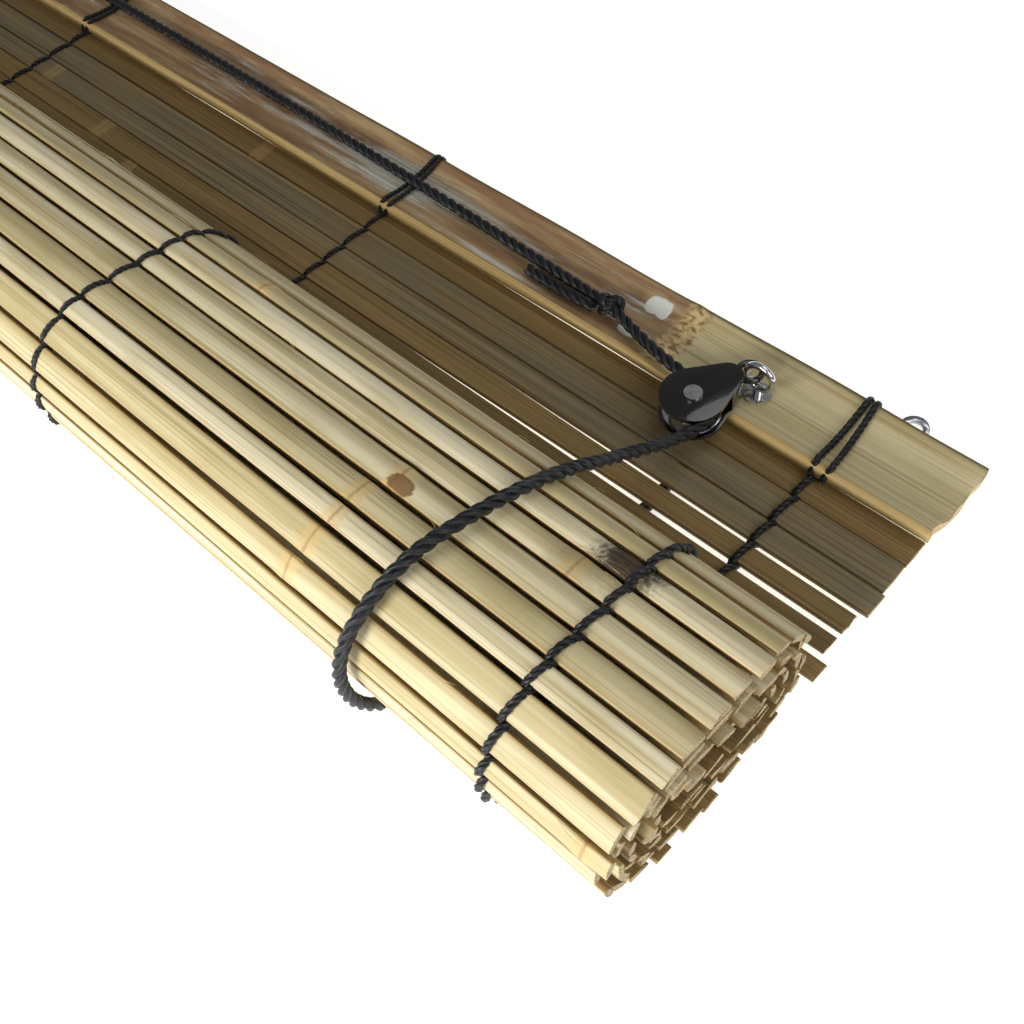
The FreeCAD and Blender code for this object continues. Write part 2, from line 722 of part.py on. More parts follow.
SPLICE_TAIL = [(273.0, 57.2, 13.6), (264.0, 56.9, 12.9), (254.0, 57.1, 12.5), (244.5, 57.8, 12.4)]
END_RIGHT = [(-461.0, -42.4, 14.4), (-452.0, -43.0, 11.8), (-443.5, -41.5, 8.0), (-436.0, -37.5, 5.2),
             (-430.5, -31.0, 4.2)]
END_LEFT = [(-461.0, 78.5, 14.4), (-452.0, 79.1, 11.8), (-443.5, 77.6, 8.0), (-436.0, 73.6, 5.2),
            (-430.5, 67.1, 4.2)]
COILS = {"right": (-470.0, -15.0), "left": (-470.0, 51.1)}
KNOTS = {"right": (-429.0, -28.5, 4.2), "left": (-429.0, 64.6, 4.2)}
SPLICE_KNOT = (277.0, 61.0, 13.7)

ROUND_SHEAVE = size("sheave_root") + CORD / 2 + size("cord_play")
ROUND_ROLL = 28.4
OVER_BACK = 24.5
TIE_GAP = 0.3


def build_lift_cords():
    over_roll = {2: OVER_BACK, 3: ROUND_ROLL, 4: ROUND_ROLL, 5: ROUND_ROLL, 6: ROUND_ROLL}
    cord_tube("lift_loop_right", LOOP_RIGHT, over_roll)
    cord_tube("lift_loop_left", LOOP_LEFT, over_roll)
    cord_tube("lift_under_right", UNDER)
    cord_tube("lift_under_left", [(-x, y, z) for x, y, z in UNDER])
    for side, word in ((-1, "left"), (1, "right")):
        tie = torus("lift_tie_" + word, "Sizes.screw_radius + Sizes.cord_play + Sizes.cord_diameter / 2",
                    "Sizes.cord_diameter / 2",
                    vec(side * SCREW_X, SCREW_Y, size("washer_height") + TIE_GAP + CORD / 2))
        keep("lift_tie_" + word, tie)


def build_pull_cords():
    cord_tube("pull_cord_right", PULL_RIGHT, {1: ROUND_SHEAVE, 19: ROUND_SHEAVE})
    cord_tube("pull_cord_left", PULL_LEFT, {1: ROUND_SHEAVE, 2: ROUND_SHEAVE})
    cord_tube("splice_tail", SPLICE_TAIL)
    cord_tube("cord_end_right", END_RIGHT)
    cord_tube("cord_end_left", END_LEFT)
    knots = {"splice_knot": SPLICE_KNOT, "end_knot_right": KNOTS["right"], "end_knot_left": KNOTS["left"]}
    for name, place in knots.items():
        ball = doc.addObject("Part::Sphere", name)
        ball.setExpression("Radius", "Sizes.knot_radius")
        ball.Placement = FreeCAD.Placement(vec(*place), FreeCAD.Rotation())
        keep(name, ball)


def build_coil(word, outward):
    """A put-away coil as one ring, and the band tied round its far side."""
    x, y = COILS[word]
    rows = "(Sizes.coil_turns / Sizes.coil_columns * Sizes.cord_diameter)"
    half = "Sizes.coil_columns * Sizes.cord_diameter / 2"
    base = vec(x, y, size("tie_wall"))
    ring = cut("coil_" + word, cylinder("coil_outside", "Sizes.coil_radius + " + half, rows, base),
               cylinder("coil_inside", "Sizes.coil_radius - " + half, rows, base))
    keep("coil_" + word, ring)
    wall = size("tie_wall")
    room = size("cord_play")
    high = wall + size("coil_turns") / size("coil_columns") * CORD + room
    near = y + outward * (size("coil_radius") - size("coil_columns") * CORD / 2 - room)
    far = y + outward * (size("coil_radius") + size("coil_columns") * CORD / 2 + room)
    low, top = min(near, far), max(near, far)
    inside = [(low, wall), (top, wall), (top, high), (low, high)]
    outside = [(low - wall, 0), (top + wall, 0), (top + wall, high + wall), (low - wall, high + wall)]
    half_band = size("tie_width") / 2
    add_shape("coil_tie_" + word, prism(outside, x - half_band, x + half_band, inside))


ROD_PLACES = (2.9, 8.9)
ROD_PLAY = 0.15


def rod_floor(y):
    """Top of the threads under a rod at y: those of the last slats that pass below the roll's middle."""
    reach = size("rod_radius")
    middle = SHEET_Z + FRONT_R
    tops = []
    for slat in SLATS:
        outline = stitch_outline(slat)
        if min(p[0] for p in outline) < y + reach and max(p[0] for p in outline) > y - reach:
            top = max(p[1] for p in outline)
            if top < middle - size("rod_radius"):
                tops.append(top)
    return max(tops)


def build_rods():
    """Two round canes along the blind's lower edge, rolled up in the middle."""
    rods = []
    for across in ROD_PLACES:
        floor = rod_floor(FRONT_Y + across)
        place = vec(-HALF + size("rod_inset"), FRONT_Y + across, floor + size("rod_radius") + ROD_PLAY)
        rods.append(cylinder("rod", "Sizes.rod_radius", "Sizes.blind_width - 2 * Sizes.rod_inset",
                             place, ALONG))
    group = doc.addObject("Part::Compound", "bottom_rods")
    group.Links = rods
    keep("bottom_rods", group)


build_sheet()
build_head_slat()
build_head_stitches()
for side, word in ((-1, "left"), (1, "right")):
    build_screw_eye(side, word)
    build_hanger(side, word)
    build_tacks(side, word)
build_pulley(1, "right", 1)
build_pulley(-1, "left", 2)
build_sheave("sheave_right", 1, 0)
build_sheave("sheave_left_low", -1, 0)
build_sheave("sheave_left_high", -1, 1)
build_rods()
build_lift_cords()
build_pull_cords()
build_coil("right", -1)
build_coil("left", 1)
doc.recompute()

for item in doc.Objects:
    if "Invalid" in item.State or "Error" in item.State:
        raise SystemExit("failed: %s %s" % (item.Name, item.State))
os.makedirs("parts", exist_ok=True)
for y, z, opening in link_hinges():
    print("hinge at y %.2f z %.2f opens %.2f degrees" % (y, z, math.degrees(opening)))
for name, node in NODES.items():
    if node.Shape.isNull() or not node.Shape.isValid():
        raise SystemExit("bad shape: " + name)
    node.Shape.exportStep("parts/%s.step" % name)
print(len(NODES), "nodes")
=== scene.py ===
# %% [markdown]
# # A roll-up blind of split bamboo
# A woven sheet of split bamboo hangs from a wide head slat. Two cords run down the back, under the roll
# and up to pulleys on the head slat. The CAD frame holds every size and every joint. This lesson keeps
# that frame and gives each piece its real surface: bamboo, twisted thread, cord, lacquer and zinc.

# %% Load the frame
import bmesh
import bpy
import json
import math
import numpy as np
from mathutils import Matrix, Vector
from mathutils import noise as mathutils_noise

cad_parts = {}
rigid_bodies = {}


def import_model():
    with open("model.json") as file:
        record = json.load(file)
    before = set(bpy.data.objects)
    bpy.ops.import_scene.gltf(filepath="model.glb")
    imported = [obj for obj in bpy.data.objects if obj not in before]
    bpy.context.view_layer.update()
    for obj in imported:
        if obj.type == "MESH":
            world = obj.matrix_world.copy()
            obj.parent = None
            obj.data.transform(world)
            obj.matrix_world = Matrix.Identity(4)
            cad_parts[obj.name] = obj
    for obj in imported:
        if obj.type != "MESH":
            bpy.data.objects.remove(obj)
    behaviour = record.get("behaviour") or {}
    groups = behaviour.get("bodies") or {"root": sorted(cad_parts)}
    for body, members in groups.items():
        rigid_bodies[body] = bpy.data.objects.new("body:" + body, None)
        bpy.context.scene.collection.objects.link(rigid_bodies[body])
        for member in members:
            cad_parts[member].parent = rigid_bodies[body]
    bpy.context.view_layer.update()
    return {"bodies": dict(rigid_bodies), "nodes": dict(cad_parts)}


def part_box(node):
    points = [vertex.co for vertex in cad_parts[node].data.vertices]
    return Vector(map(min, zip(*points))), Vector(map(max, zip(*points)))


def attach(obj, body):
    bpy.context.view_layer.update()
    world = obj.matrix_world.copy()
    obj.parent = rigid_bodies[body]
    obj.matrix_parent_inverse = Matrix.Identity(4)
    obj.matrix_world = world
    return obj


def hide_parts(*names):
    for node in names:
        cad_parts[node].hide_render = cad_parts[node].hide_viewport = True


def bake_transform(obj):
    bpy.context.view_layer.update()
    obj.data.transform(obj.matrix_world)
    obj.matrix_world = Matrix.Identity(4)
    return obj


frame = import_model()
scene = bpy.context.scene
MM = 0.001

# %% [markdown]
# ## Camera, floor and light
# The blind is seen from close to its right end, a little above it, so the slats run away to the left.
# The camera is rolled by nine degrees, and its axes are written out as a matrix, because a rolled camera
# is awkward to write as three angles. A white floor that gives off a little light stands for a studio
# light table: the gaps between the slats stay bright.

# %% Camera
EYE = Vector((0.4550, -0.1411, 0.2976))
AIM = Vector((0.3106, -0.0206, 0.0215))
ROLL = math.radians(-9.01)
LENS = 42.5

forward = (AIM - EYE).normalized()
level_right = forward.cross(Vector((0, 0, 1))).normalized()
level_up = level_right.cross(forward)
right = level_right * math.cos(ROLL) + level_up * math.sin(ROLL)
up = level_up * math.cos(ROLL) - level_right * math.sin(ROLL)
camera = bpy.data.objects.new("camera", bpy.data.cameras.new("camera"))
camera.data.lens = LENS
camera.data.clip_start = 0.01
camera.matrix_world = Matrix((right, up, -forward)).transposed().to_4x4()
camera.location = EYE
scene.collection.objects.link(camera)
scene.camera = camera
scene.view_settings.view_transform = "Standard"

# %% [markdown]
# The key light is low and far in front of the roll, so each slat's dome is bright and the sheet behind the
# roll stays darker. Two weak lights fill the top and the right end.

# %% Lights
WHITE = (1.0, 1.0, 1.0)


def soft_light(name, place, aim, width, power, colour=WHITE):
    lamp = bpy.data.lights.new(name, "AREA")
    lamp.shape = "SQUARE"
    lamp.size = width
    lamp.energy = power
    lamp.color = colour
    lit = bpy.data.objects.new(name, lamp)
    lit.location = place
    lit.rotation_euler = (Vector(aim) - Vector(place)).to_track_quat("-Z", "Y").to_euler()
    scene.collection.objects.link(lit)


soft_light("key_window", (0.25, -1.4, 0.62), (0.2, -0.05, 0.03), 0.6, 25)
soft_light("top_sky", (0.5, 0.5, 1.3), (0.25, 0.0, 0.0), 0.8, 3, (0.96, 0.98, 1.0))
soft_light("end_fill", (1.2, -0.1, 0.7), (0.35, -0.03, 0.03), 0.6, 3.5)
world = bpy.data.worlds.new("studio")
scene.world = world
world.use_nodes = True
sky = world.node_tree.nodes["Background"].inputs
sky["Color"].default_value = (*WHITE, 1.0)
sky["Strength"].default_value = 0.17

# %% [markdown]
# ## A small language for node trees
# Shader maths reads badly as a list of nodes and links. A small class wraps one output socket, and
# Python's operators on it add Math nodes, so a mask can be written as a formula. The same class serves
# materials and Geometry Nodes, because both trees use the same maths nodes.

# %% Sockets as Python values
def sign(operation, turned=False):
    """An operator that adds a Math node; turned is for a Wire on the right of a plain number."""
    def act(self, other=0.0):
        values = (other, self) if turned else (self, other)
        return self.graph.maths(operation, *values)
    return act


class Wire:
    """An output socket; operators on it add Math nodes."""

    __add__, __radd__ = sign("ADD"), sign("ADD", True)
    __sub__, __rsub__ = sign("SUBTRACT"), sign("SUBTRACT", True)
    __mul__, __rmul__ = sign("MULTIPLY"), sign("MULTIPLY", True)
    __truediv__, __rtruediv__ = sign("DIVIDE"), sign("DIVIDE", True)
    __pow__ = sign("POWER")
    __abs__ = sign("ABSOLUTE")

    def __init__(self, graph, socket):
        self.graph = graph
        self.socket = socket

    def __neg__(self):
        return self * -1.0

    def beside(self, name):
        """Another output of the same node."""
        return Wire(self.graph, self.socket.node.outputs[name])


class Graph:
    """A node tree under construction."""

    def __init__(self, tree):
        self.tree = tree

    def add(self, kind, settings=None, sockets=None, output=0):
        """Makes a node, sets it up, then fills its sockets with values or links."""
        node = self.tree.nodes.new(kind)
        for name, value in (settings or {}).items():
            setattr(node, name, value)
        for name, value in (sockets or {}).items():
            if isinstance(value, Wire):
                self.tree.links.new(value.socket, node.inputs[name])
            else:
                node.inputs[name].default_value = value
        return Wire(self, node.outputs[output]) if len(node.outputs) else node

    def maths(self, operation, *values):
        return self.add("ShaderNodeMath", {"operation": operation}, dict(enumerate(values)))

    def vector(self, operation, *values):
        return self.add("ShaderNodeVectorMath", {"operation": operation}, dict(enumerate(values)))

    def join(self, x, y, z):
        return self.add("ShaderNodeCombineXYZ", None, {"X": x, "Y": y, "Z": z})

    def split(self, vector):
        x = self.add("ShaderNodeSeparateXYZ", None, {"Vector": vector})
        return x, x.beside("Y"), x.beside("Z")

    def position(self):
        """X, Y and Z of each point, in a Geometry Nodes tree."""
        return self.split(self.add("GeometryNodeInputPosition"))

    def step(self, value, low, high):
        """0 below low, 1 above high, and smooth between them."""
        return self.add("ShaderNodeMapRange", {"interpolation_type": "SMOOTHSTEP"},
                        {"Value": value, "From Min": low, "From Max": high})

    def peak(self, distance, width):
        """1 where distance is 0, falling to a half at width."""
        return 1.0 / (1.0 + (distance / width) ** 2.0)

    def noise(self, vector, scale, detail=2.0, roughness=0.5):
        return self.add("ShaderNodeTexNoise", None,
                        {"Vector": vector, "Scale": scale, "Detail": detail, "Roughness": roughness})

    def grain(self, x, y, z, detail=2.0, roughness=0.5):
        """Noise stretched to these three values: the faster one changes, the finer the noise along it."""
        return self.noise(self.join(x, y, z), 1.0, detail, roughness)

    def mix(self, share, first, second):
        """A blend of two colours, each a Wire or a screen colour from 0 to 255."""
        first, second = (colour if isinstance(colour, Wire) else tint(*colour) for colour in (first, second))
        return self.add("ShaderNodeMix", {"data_type": "RGBA"}, {0: share, 6: first, 7: second}, 2)

    def stain(self, colour, *stains):
        """Stains over a colour, each a value, where it starts and is full, its strength and its colour."""
        for value, low, high, strength, stain_colour in stains:
            colour = self.mix(self.step(value, low, high) * strength, colour, stain_colour)
        return colour

# %% [markdown]
# ## Finishes
# Each finish is one function. A colour is written as it looks on a screen and turned linear, because a
# shader works in linear light.

# %% Helpers for finishes
def tint(red, green, blue):
    """A screen colour from 0 to 255 as a linear colour."""
    channels = []
    for level in (red, green, blue):
        share = level / 255
        channels.append(share / 12.92 if share <= 0.04045 else ((share + 0.055) / 1.055) ** 2.4)
    return (*channels, 1.0)


def new_finish(name):
    """An empty material, its Graph and the place on the piece."""
    material = bpy.data.materials.new(name)
    material.use_nodes = True
    material.node_tree.nodes.clear()
    graph = Graph(material.node_tree)
    return material, graph, graph.add("ShaderNodeTexCoord", None, None, "Object")


def close_finish(graph, sockets, height=None, depth=0.1 * MM):
    """A Principled shader with these sockets, and a bump whose full height is depth."""
    if height is not None:
        sockets["Normal"] = graph.add("ShaderNodeBump", None,
                                      {"Height": height, "Strength": 1.0, "Distance": depth})
    shader = graph.add("ShaderNodeBsdfPrincipled", None, sockets)
    graph.add("ShaderNodeOutputMaterial", None, {"Surface": shader})


def named(graph, name):
    """The factor of a named attribute, in a material."""
    return graph.add("ShaderNodeAttribute", {"attribute_name": name}, None, "Fac")


def cut_across(graph):
    """1 on the ends, where a stick was cut across, and 0 along its sides."""
    normal = graph.add("ShaderNodeNewGeometry", None, None, "Normal")
    return graph.step(abs(graph.split(normal)[0]), 0.75, 0.9)

# %% [markdown]
# ### Split bamboo
# A slat has a hard pale skin on one face and soft darker pith on the other. Fibres run along it, so every
# pattern is noise stretched along X. The geometry gives each point its numbers: `face` is 1 on the skin and
# -1 on the pith, `across` goes from edge to edge, `tone` differs from slat to slat, `knot_a` and `knot_b`
# are where the culm's joints were, and `grey`, `scar` and `burn` are marks. The flat slats' side faces are
# painted dark: painted shade in the gaps between them.

# %% Split bamboo finish
FLAT_SLATS = 12


def bamboo_slat_finish():
    finish, g, place = new_finish("split bamboo")
    x, y, z = g.split(place)
    face, across, tone, number = (named(g, name) for name in ("face", "across", "tone", "number"))
    fine = g.grain(x * 9.0 + number * 3.7, y * 1500.0, z * 1500.0, 3.0, 0.6)
    coarse = g.grain(x * 5.0 + number * 1.9, y * 420.0, z * 420.0)
    cloud = g.grain(x * 22.0, number * 5.3, across * 0.6, 3.0)
    fleck = g.grain(x * 150.0, y * 900.0, z * 900.0)
    crumble = g.noise(place, 900.0, 3.0)

    skin = g.stain(g.mix(tone, (233, 223, 190), (206, 193, 148)),
                   (coarse, 0.35, 0.7, 0.7, (181, 160, 110)),
                   (cloud, 0.45, 0.7, 0.6, (176, 160, 108)),
                   (fine, 0.5, 0.72, 0.6, (150, 122, 70)),
                   # Darker towards each edge of the skin: painted shade where the domed slats meet.
                   (abs(across), 0.72, 0.9, 0.35, (158, 134, 84)),
                   (abs(across), 0.9, 0.99, 0.5, (228, 198, 128)))
    pith = g.stain(g.mix(tone, (150, 124, 74), (118, 96, 56)),
                   (named(g, "grey"), 0.1, 0.9, 1.0, (128, 118, 92)),
                   (cloud, 0.4, 0.75, 0.6, (150, 116, 66)),
                   (coarse, 0.45, 0.75, 0.5, (172, 146, 94)),
                   (fine, 0.48, 0.68, 0.75, (92, 72, 40)))
    flank = g.stain(g.mix(g.step(coarse, 0.35, 0.7), (204, 172, 112), (158, 124, 72)),
                    (fine, 0.4, 0.65, 0.7, (96, 70, 38)))
    # The flat sheet's slat sides are darkened: painted shade in the gaps between the slats.
    in_flat_sheet = 1.0 - g.step(number, FLAT_SLATS - 0.8, FLAT_SLATS - 0.2)
    flank = g.mix(in_flat_sheet * 0.75, flank, (84, 64, 36))
    on_skin = g.step(face, 0.55, 0.86)
    on_pith = g.step(face, -0.55, -0.86)
    colour = g.mix(on_pith, g.mix(on_skin, flank, skin), pith)

    knot_a = x - named(g, "knot_a")
    knot_b = x - named(g, "knot_b")
    near_knot = g.maths("MINIMUM", abs(knot_a), abs(knot_b))
    moon = g.peak(near_knot + (crumble - 0.5) * 3.0 * MM, 3.2 * MM)
    moon = g.step(moon, 0.35, 0.7) * (1.0 - on_pith * 0.5)
    colour = g.mix(moon * 0.5, colour, (212, 180, 116))
    ring = g.peak(near_knot + (crumble - 0.5) * 1.2 * MM, 0.5 * MM)
    colour = g.stain(colour, (ring, 0.3, 0.8, 0.5, (150, 112, 60)))

    scar_far = ((knot_a - 2.2 * MM) / (4.4 * MM)) ** 2.0 + ((across + 0.45) / 0.75) ** 2.0
    scar_far = scar_far + (crumble - 0.5) * 0.7 + (cloud - 0.5) * 1.2
    scar = (1.0 - g.step(scar_far, 0.65, 1.0)) * named(g, "scar") * on_skin
    colour = g.mix(scar * 0.92, colour, g.mix(fleck, (104, 72, 38), (150, 112, 66)))
    burn_far = abs(knot_a) / (10.5 * MM) + (crumble - 0.5) * 0.9 + (cloud - 0.5) * 0.9
    burn = (1.0 - g.step(burn_far, 0.35, 1.15)) * named(g, "burn")
    colour = g.mix(burn * 0.96, colour, g.mix(g.step(fine, 0.4, 0.7), (20, 14, 9), (92, 66, 38)))

    cut = cut_across(g)
    pores = g.grain(x * 10.0, y * 2600.0, z * 2600.0, 1.0)
    colour = g.mix(cut, colour, g.mix(g.step(pores, 0.42, 0.6), (132, 110, 72), (204, 182, 134)))
    rough = 0.40 + coarse * 0.16 + on_pith * 0.24 + cut * 0.2 + burn * 0.2
    height = fine * (0.35 + on_pith * 0.65) + fleck * 0.12 + crumble * moon * 0.5
    close_finish(g, {"Base Color": colour, "Roughness": rough, "Specular IOR Level": 0.45}, height,
                 0.11 * MM)
    return finish


SLAT_FINISH = bamboo_slat_finish()

# %% [markdown]
# ### The head slat
# It is a wide strip of the same culm, hollow side up. Right of its node the inner wall is clean and
# finely lined. Left of it the papery white pith is peeling, with brown and pink stains under it. Its near
# rim is cut through the wall and shows a yellow stripe.

# %% Head slat finish
HEAD_KNOTS = (0.2985, -0.018, -0.331)


def head_slat_finish():
    finish, g, place = new_finish("split culm wall")
    x, y, z = g.split(place)
    across = named(g, "across")
    inside = named(g, "inside")
    lines = g.grain(x * 7.0, y * 1700.0, z * 300.0, 3.0, 0.55)
    broad = g.grain(x * 9.0, y * 160.0, z * 60.0)
    blotch = g.grain(x * 17.0, y * 190.0, 3.0, 4.0, 0.6)
    flakes = g.grain(x * 15.0, y * 150.0, 11.0, 5.0, 0.66)
    chip = g.grain(x * 190.0, y * 230.0, 2.0)
    pits = g.grain(x * 420.0, y * 620.0, 5.0, 3.0)
    grit = g.noise(place, 1100.0, 3.0, 0.6)

    clean = g.stain((205, 191, 148), (broad, 0.3, 0.7, 1.0, (176, 160, 112)),
                    (lines, 0.5, 0.66, 0.55, (136, 118, 74)))
    stained = g.stain((176, 150, 108), (blotch, 0.35, 0.6, 1.0, (140, 106, 74)),
                      (blotch, 0.62, 0.78, 1.0, (196, 152, 120)),
                      (lines, 0.5, 0.7, 0.4, (104, 78, 48)))
    beyond_node = 1.0 - g.step(x, HEAD_KNOTS[0] - 4.0 * MM, HEAD_KNOTS[0])
    wall = g.mix(beyond_node, clean, stained)

    patch_zone = g.step(x, 0.03, 0.09) * (1.0 - g.step(x, 0.235, 0.272))
    patches = g.step(flakes + 0.1 * patch_zone * (1.0 - abs(across)), 0.53, 0.68) * beyond_node
    patches = patches * g.step(abs(across), 0.86, 0.7)
    stump_far = ((x - 0.2875) / (5.2 * MM)) ** 4.0 + ((across - 0.52) / 0.27) ** 4.0
    stump_low = ((x - 0.2855) / (4.2 * MM)) ** 4.0 + ((across + 0.38) / 0.2) ** 4.0
    stump = 1.0 - g.step(g.maths("MINIMUM", stump_far, stump_low) + (chip - 0.5) * 1.8, 0.5, 0.8)
    white = g.maths("MAXIMUM", patches * inside, stump * inside)
    streaky = g.stain((222, 224, 216), (lines, 0.35, 0.65, 1.0, (172, 168, 150)))
    stump_colour = g.mix(chip, (206, 212, 206), (238, 240, 232))
    wall = g.mix(white * 0.82, wall, g.mix(stump, streaky, stump_colour))

    ridge = g.step(g.peak(x - HEAD_KNOTS[0] - 1.5 * MM + (chip - 0.5) * 7.0 * MM, 4.6 * MM), 0.35, 0.7)
    pitted = g.stain((128, 92, 46), (pits, 0.35, 0.6, 1.0, (208, 182, 128)))
    wall = g.mix(ridge * 0.9 * (1.0 - stump), wall, pitted)
    rim = g.stain((226, 194, 128), (lines, 0.4, 0.7, 1.0, (182, 146, 84)))
    wall = g.mix(g.step(-across, 0.80, 0.86), wall, rim)
    skin = g.stain((190, 174, 116), (broad, 0.3, 0.7, 1.0, (160, 142, 90)))
    colour = g.stain(g.mix(inside, skin, wall), (across, 0.93, 0.99, 1.0, (128, 112, 72)))
    colour = g.mix(cut_across(g), colour, g.mix(grit, (196, 168, 110), (228, 202, 146)))

    rough = 0.46 + lines * 0.14 - white * 0.16
    height = lines * 0.5 + grit * 0.2 + flakes * white * 1.4 + ridge * pits * 2.2
    close_finish(g, {"Base Color": colour, "Roughness": rough, "Specular IOR Level": 0.45}, height,
                 0.14 * MM)
    return finish


HEAD_FINISH = head_slat_finish()

# %% [markdown]
# ### Thread and cord
# Both are black polyester. The crests of the fine yarns are painted lighter and bluish: a painted highlight.
# The geometry stores how far along the cord a point is and where it sits round its strand, so fine yarns can
# wind round each strand.

# %% Thread and cord finish
def cord_finish(name, yarn_length):
    finish, g, place = new_finish(name)
    angle = g.maths("ARCTAN2", named(g, "round_y"), named(g, "round_x"))
    yarns = g.maths("SINE", angle * 5.0 - named(g, "run") * (2 * math.pi / yarn_length))
    fuzz = g.noise(place, 2600.0, 2.0)
    dust = g.noise(place, 160.0, 3.0)
    ridge = g.step(yarns, -0.2, 1.0)
    # Yarn crests painted lighter and bluish over near-black: a painted highlight, darker in the grooves.
    colour = g.mix(ridge * 0.7 + fuzz * 0.2, (3, 4, 5), (20, 25, 33))
    colour = g.stain(colour, (dust, 0.55, 0.8, 0.25, (30, 32, 35)))
    height = ridge * 0.7 + fuzz * 0.3
    close_finish(g, {"Base Color": colour, "Roughness": 0.34 + fuzz * 0.2, "Specular IOR Level": 0.5,
                     "Sheen Weight": 0.05, "Sheen Roughness": 0.4}, height, 0.12 * MM)
    return finish


CORD_FINISH = cord_finish("twisted cord", 4.2 * MM)
THREAD_FINISH = cord_finish("warp thread", 2.4 * MM)

# %% [markdown]
# ### Metal and lacquer
# The pulley's case is black lacquer that has worn to bright metal along its edges. The screw eyes,
# washers and sheaves are zinc-plated, so their shine is broken by fine scratches and a few dull spots.

# %% Metal and lacquer finishes
def zinc_finish(name, light, dark, scratch_way):
    finish, g, place = new_finish(name)
    scratches = g.noise(g.vector("MULTIPLY", place, scratch_way), 1.0)
    spots = g.noise(place, 420.0, 3.0)
    colour = g.stain(light, (spots, 0.45, 0.7, 0.6, dark))
    rough = 0.1 + scratches * 0.14 + g.step(spots, 0.55, 0.8) * 0.15
    close_finish(g, {"Base Color": colour, "Metallic": 1.0, "Roughness": rough}, scratches, 0.008 * MM)
    return finish


def lacquer_finish(name, wear):
    """Black lacquer; the greater the wear, the more of it has rubbed through to metal."""
    finish, g, place = new_finish(name)
    rub = g.noise(place, 700.0, 4.0, 0.6)
    orange_peel = g.noise(place, 1500.0, 1.0)
    bare = g.step(rub, 0.74 - 0.5 * wear, 0.8 - 0.46 * wear)
    colour = g.mix(bare, (8, 8, 10), (176, 178, 180))
    rough = 0.1 + rub * 0.1 + bare * 0.15
    close_finish(g, {"Base Color": colour, "Metallic": bare, "Roughness": rough, "Coat Weight": 0.8},
                 orange_peel, 0.02 * MM)
    return finish


ZINC = zinc_finish("bright zinc", (226, 228, 230), (168, 172, 176), (3000.0, 600.0, 900.0))
SHEAVE_STEEL = zinc_finish("turned steel", (216, 220, 224), (176, 180, 186), (400.0, 400.0, 5200.0))
STRIP_STEEL = zinc_finish("zinc strip", (190, 192, 196), (142, 144, 150), (900.0, 4000.0, 900.0))
LACQUER = lacquer_finish("black lacquer", 0.0)
WORN_LACQUER = lacquer_finish("worn lacquer edge", 0.75)
print("finishes:", len(bpy.data.materials))

# %% [markdown]
# ### Cane and floor
# The two rods in the roll are unsplit cane: round, satin and a little yellower than the slats. The floor
# is a light table, so it is white and gives off a little light of its own.

# %% Cane and floor finishes
FLOOR_GLOW = 0.62
FLOOR_REACH = 20.0


def cane_finish():
    finish, g, place = new_finish("round cane")
    x, y, z = g.split(place)
    fibre = g.grain(x * 9.0, y * 1300.0, z * 1300.0, 3.0)
    cloud = g.grain(x * 30.0, y * 90.0, z * 90.0)
    pores = g.grain(x * 10.0, y * 2300.0, z * 2300.0, 1.0)
    skin = g.stain((224, 205, 142), (cloud, 0.35, 0.7, 1.0, (196, 170, 104)),
                   (fibre, 0.5, 0.75, 0.5, (150, 118, 66)))
    end_colour = g.stain((170, 142, 92), (pores, 0.42, 0.6, 1.0, (224, 200, 146)))
    close_finish(g, {"Base Color": g.mix(cut_across(g), skin, end_colour), "Roughness": 0.36 + fibre * 0.2},
                 fibre)
    return finish


def floor_finish():
    finish, g, place = new_finish("light table")
    colour = g.mix(g.noise(place, 3.0), (244, 245, 246), (250, 250, 250))
    close_finish(g, {"Base Color": colour, "Roughness": 0.7, "Emission Color": (*WHITE, 1.0),
                     "Emission Strength": FLOOR_GLOW, "Specular IOR Level": 0.2})
    return finish


CANE_FINISH = cane_finish()
floor_mesh = bpy.data.meshes.new("light_table")
floor_corners = [(FLOOR_REACH * x, FLOOR_REACH * y, 0) for x, y in ((-1, -1), (1, -1), (1, 1), (-1, 1))]
floor_mesh.from_pydata(floor_corners, [], [(0, 1, 2, 3)])
floor_mesh.materials.append(floor_finish())
floor = bpy.data.objects.new("light_table", floor_mesh)
scene.collection.objects.link(floor)

# %% [markdown]
# ## Growing pieces with Geometry Nodes
# A blind is the same few moves repeated hundreds of times, so its slats and cords come from two small
# node trees. Each tree has named inputs. The function below hands a tree its numbers through the
# sockets' identifiers, reads back the finished surface as a plain mesh and throws the modifier away.

# %% Trees and their use


def geometry_tree(name, sizes):
    """A Geometry Nodes tree with these named inputs: the tree, its Graph and its inputs as Wires."""
    tree = bpy.data.node_groups.new(name, "GeometryNodeTree")
    tree.interface.new_socket("Geometry", in_out="INPUT", socket_type="NodeSocketGeometry")
    tree.interface.new_socket("Geometry", in_out="OUTPUT", socket_type="NodeSocketGeometry")
    for label, kind in sizes.items():
        tree.interface.new_socket(label, in_out="INPUT", socket_type="NodeSocket" + kind)
    graph = Graph(tree)
    entry = tree.nodes.new("NodeGroupInput")
    return tree, graph, {socket.name: Wire(graph, socket) for socket in entry.outputs if socket.name}


def close_tree(graph, geometry, finish):
    whole = graph.add("GeometryNodeRealizeInstances", None, {"Geometry": geometry})
    painted = graph.add("GeometryNodeSetMaterial", None, {"Geometry": whole, "Material": finish})
    way_out = graph.tree.nodes.new("NodeGroupOutput")
    graph.tree.links.new(painted.socket, way_out.inputs[0])


def store(graph, geometry, name, value):
    """Stores a value on every point of the geometry under a name."""
    return graph.add("GeometryNodeStoreNamedAttribute", {"data_type": "FLOAT", "domain": "POINT"},
                     {"Geometry": geometry, "Name": name, "Value": value})


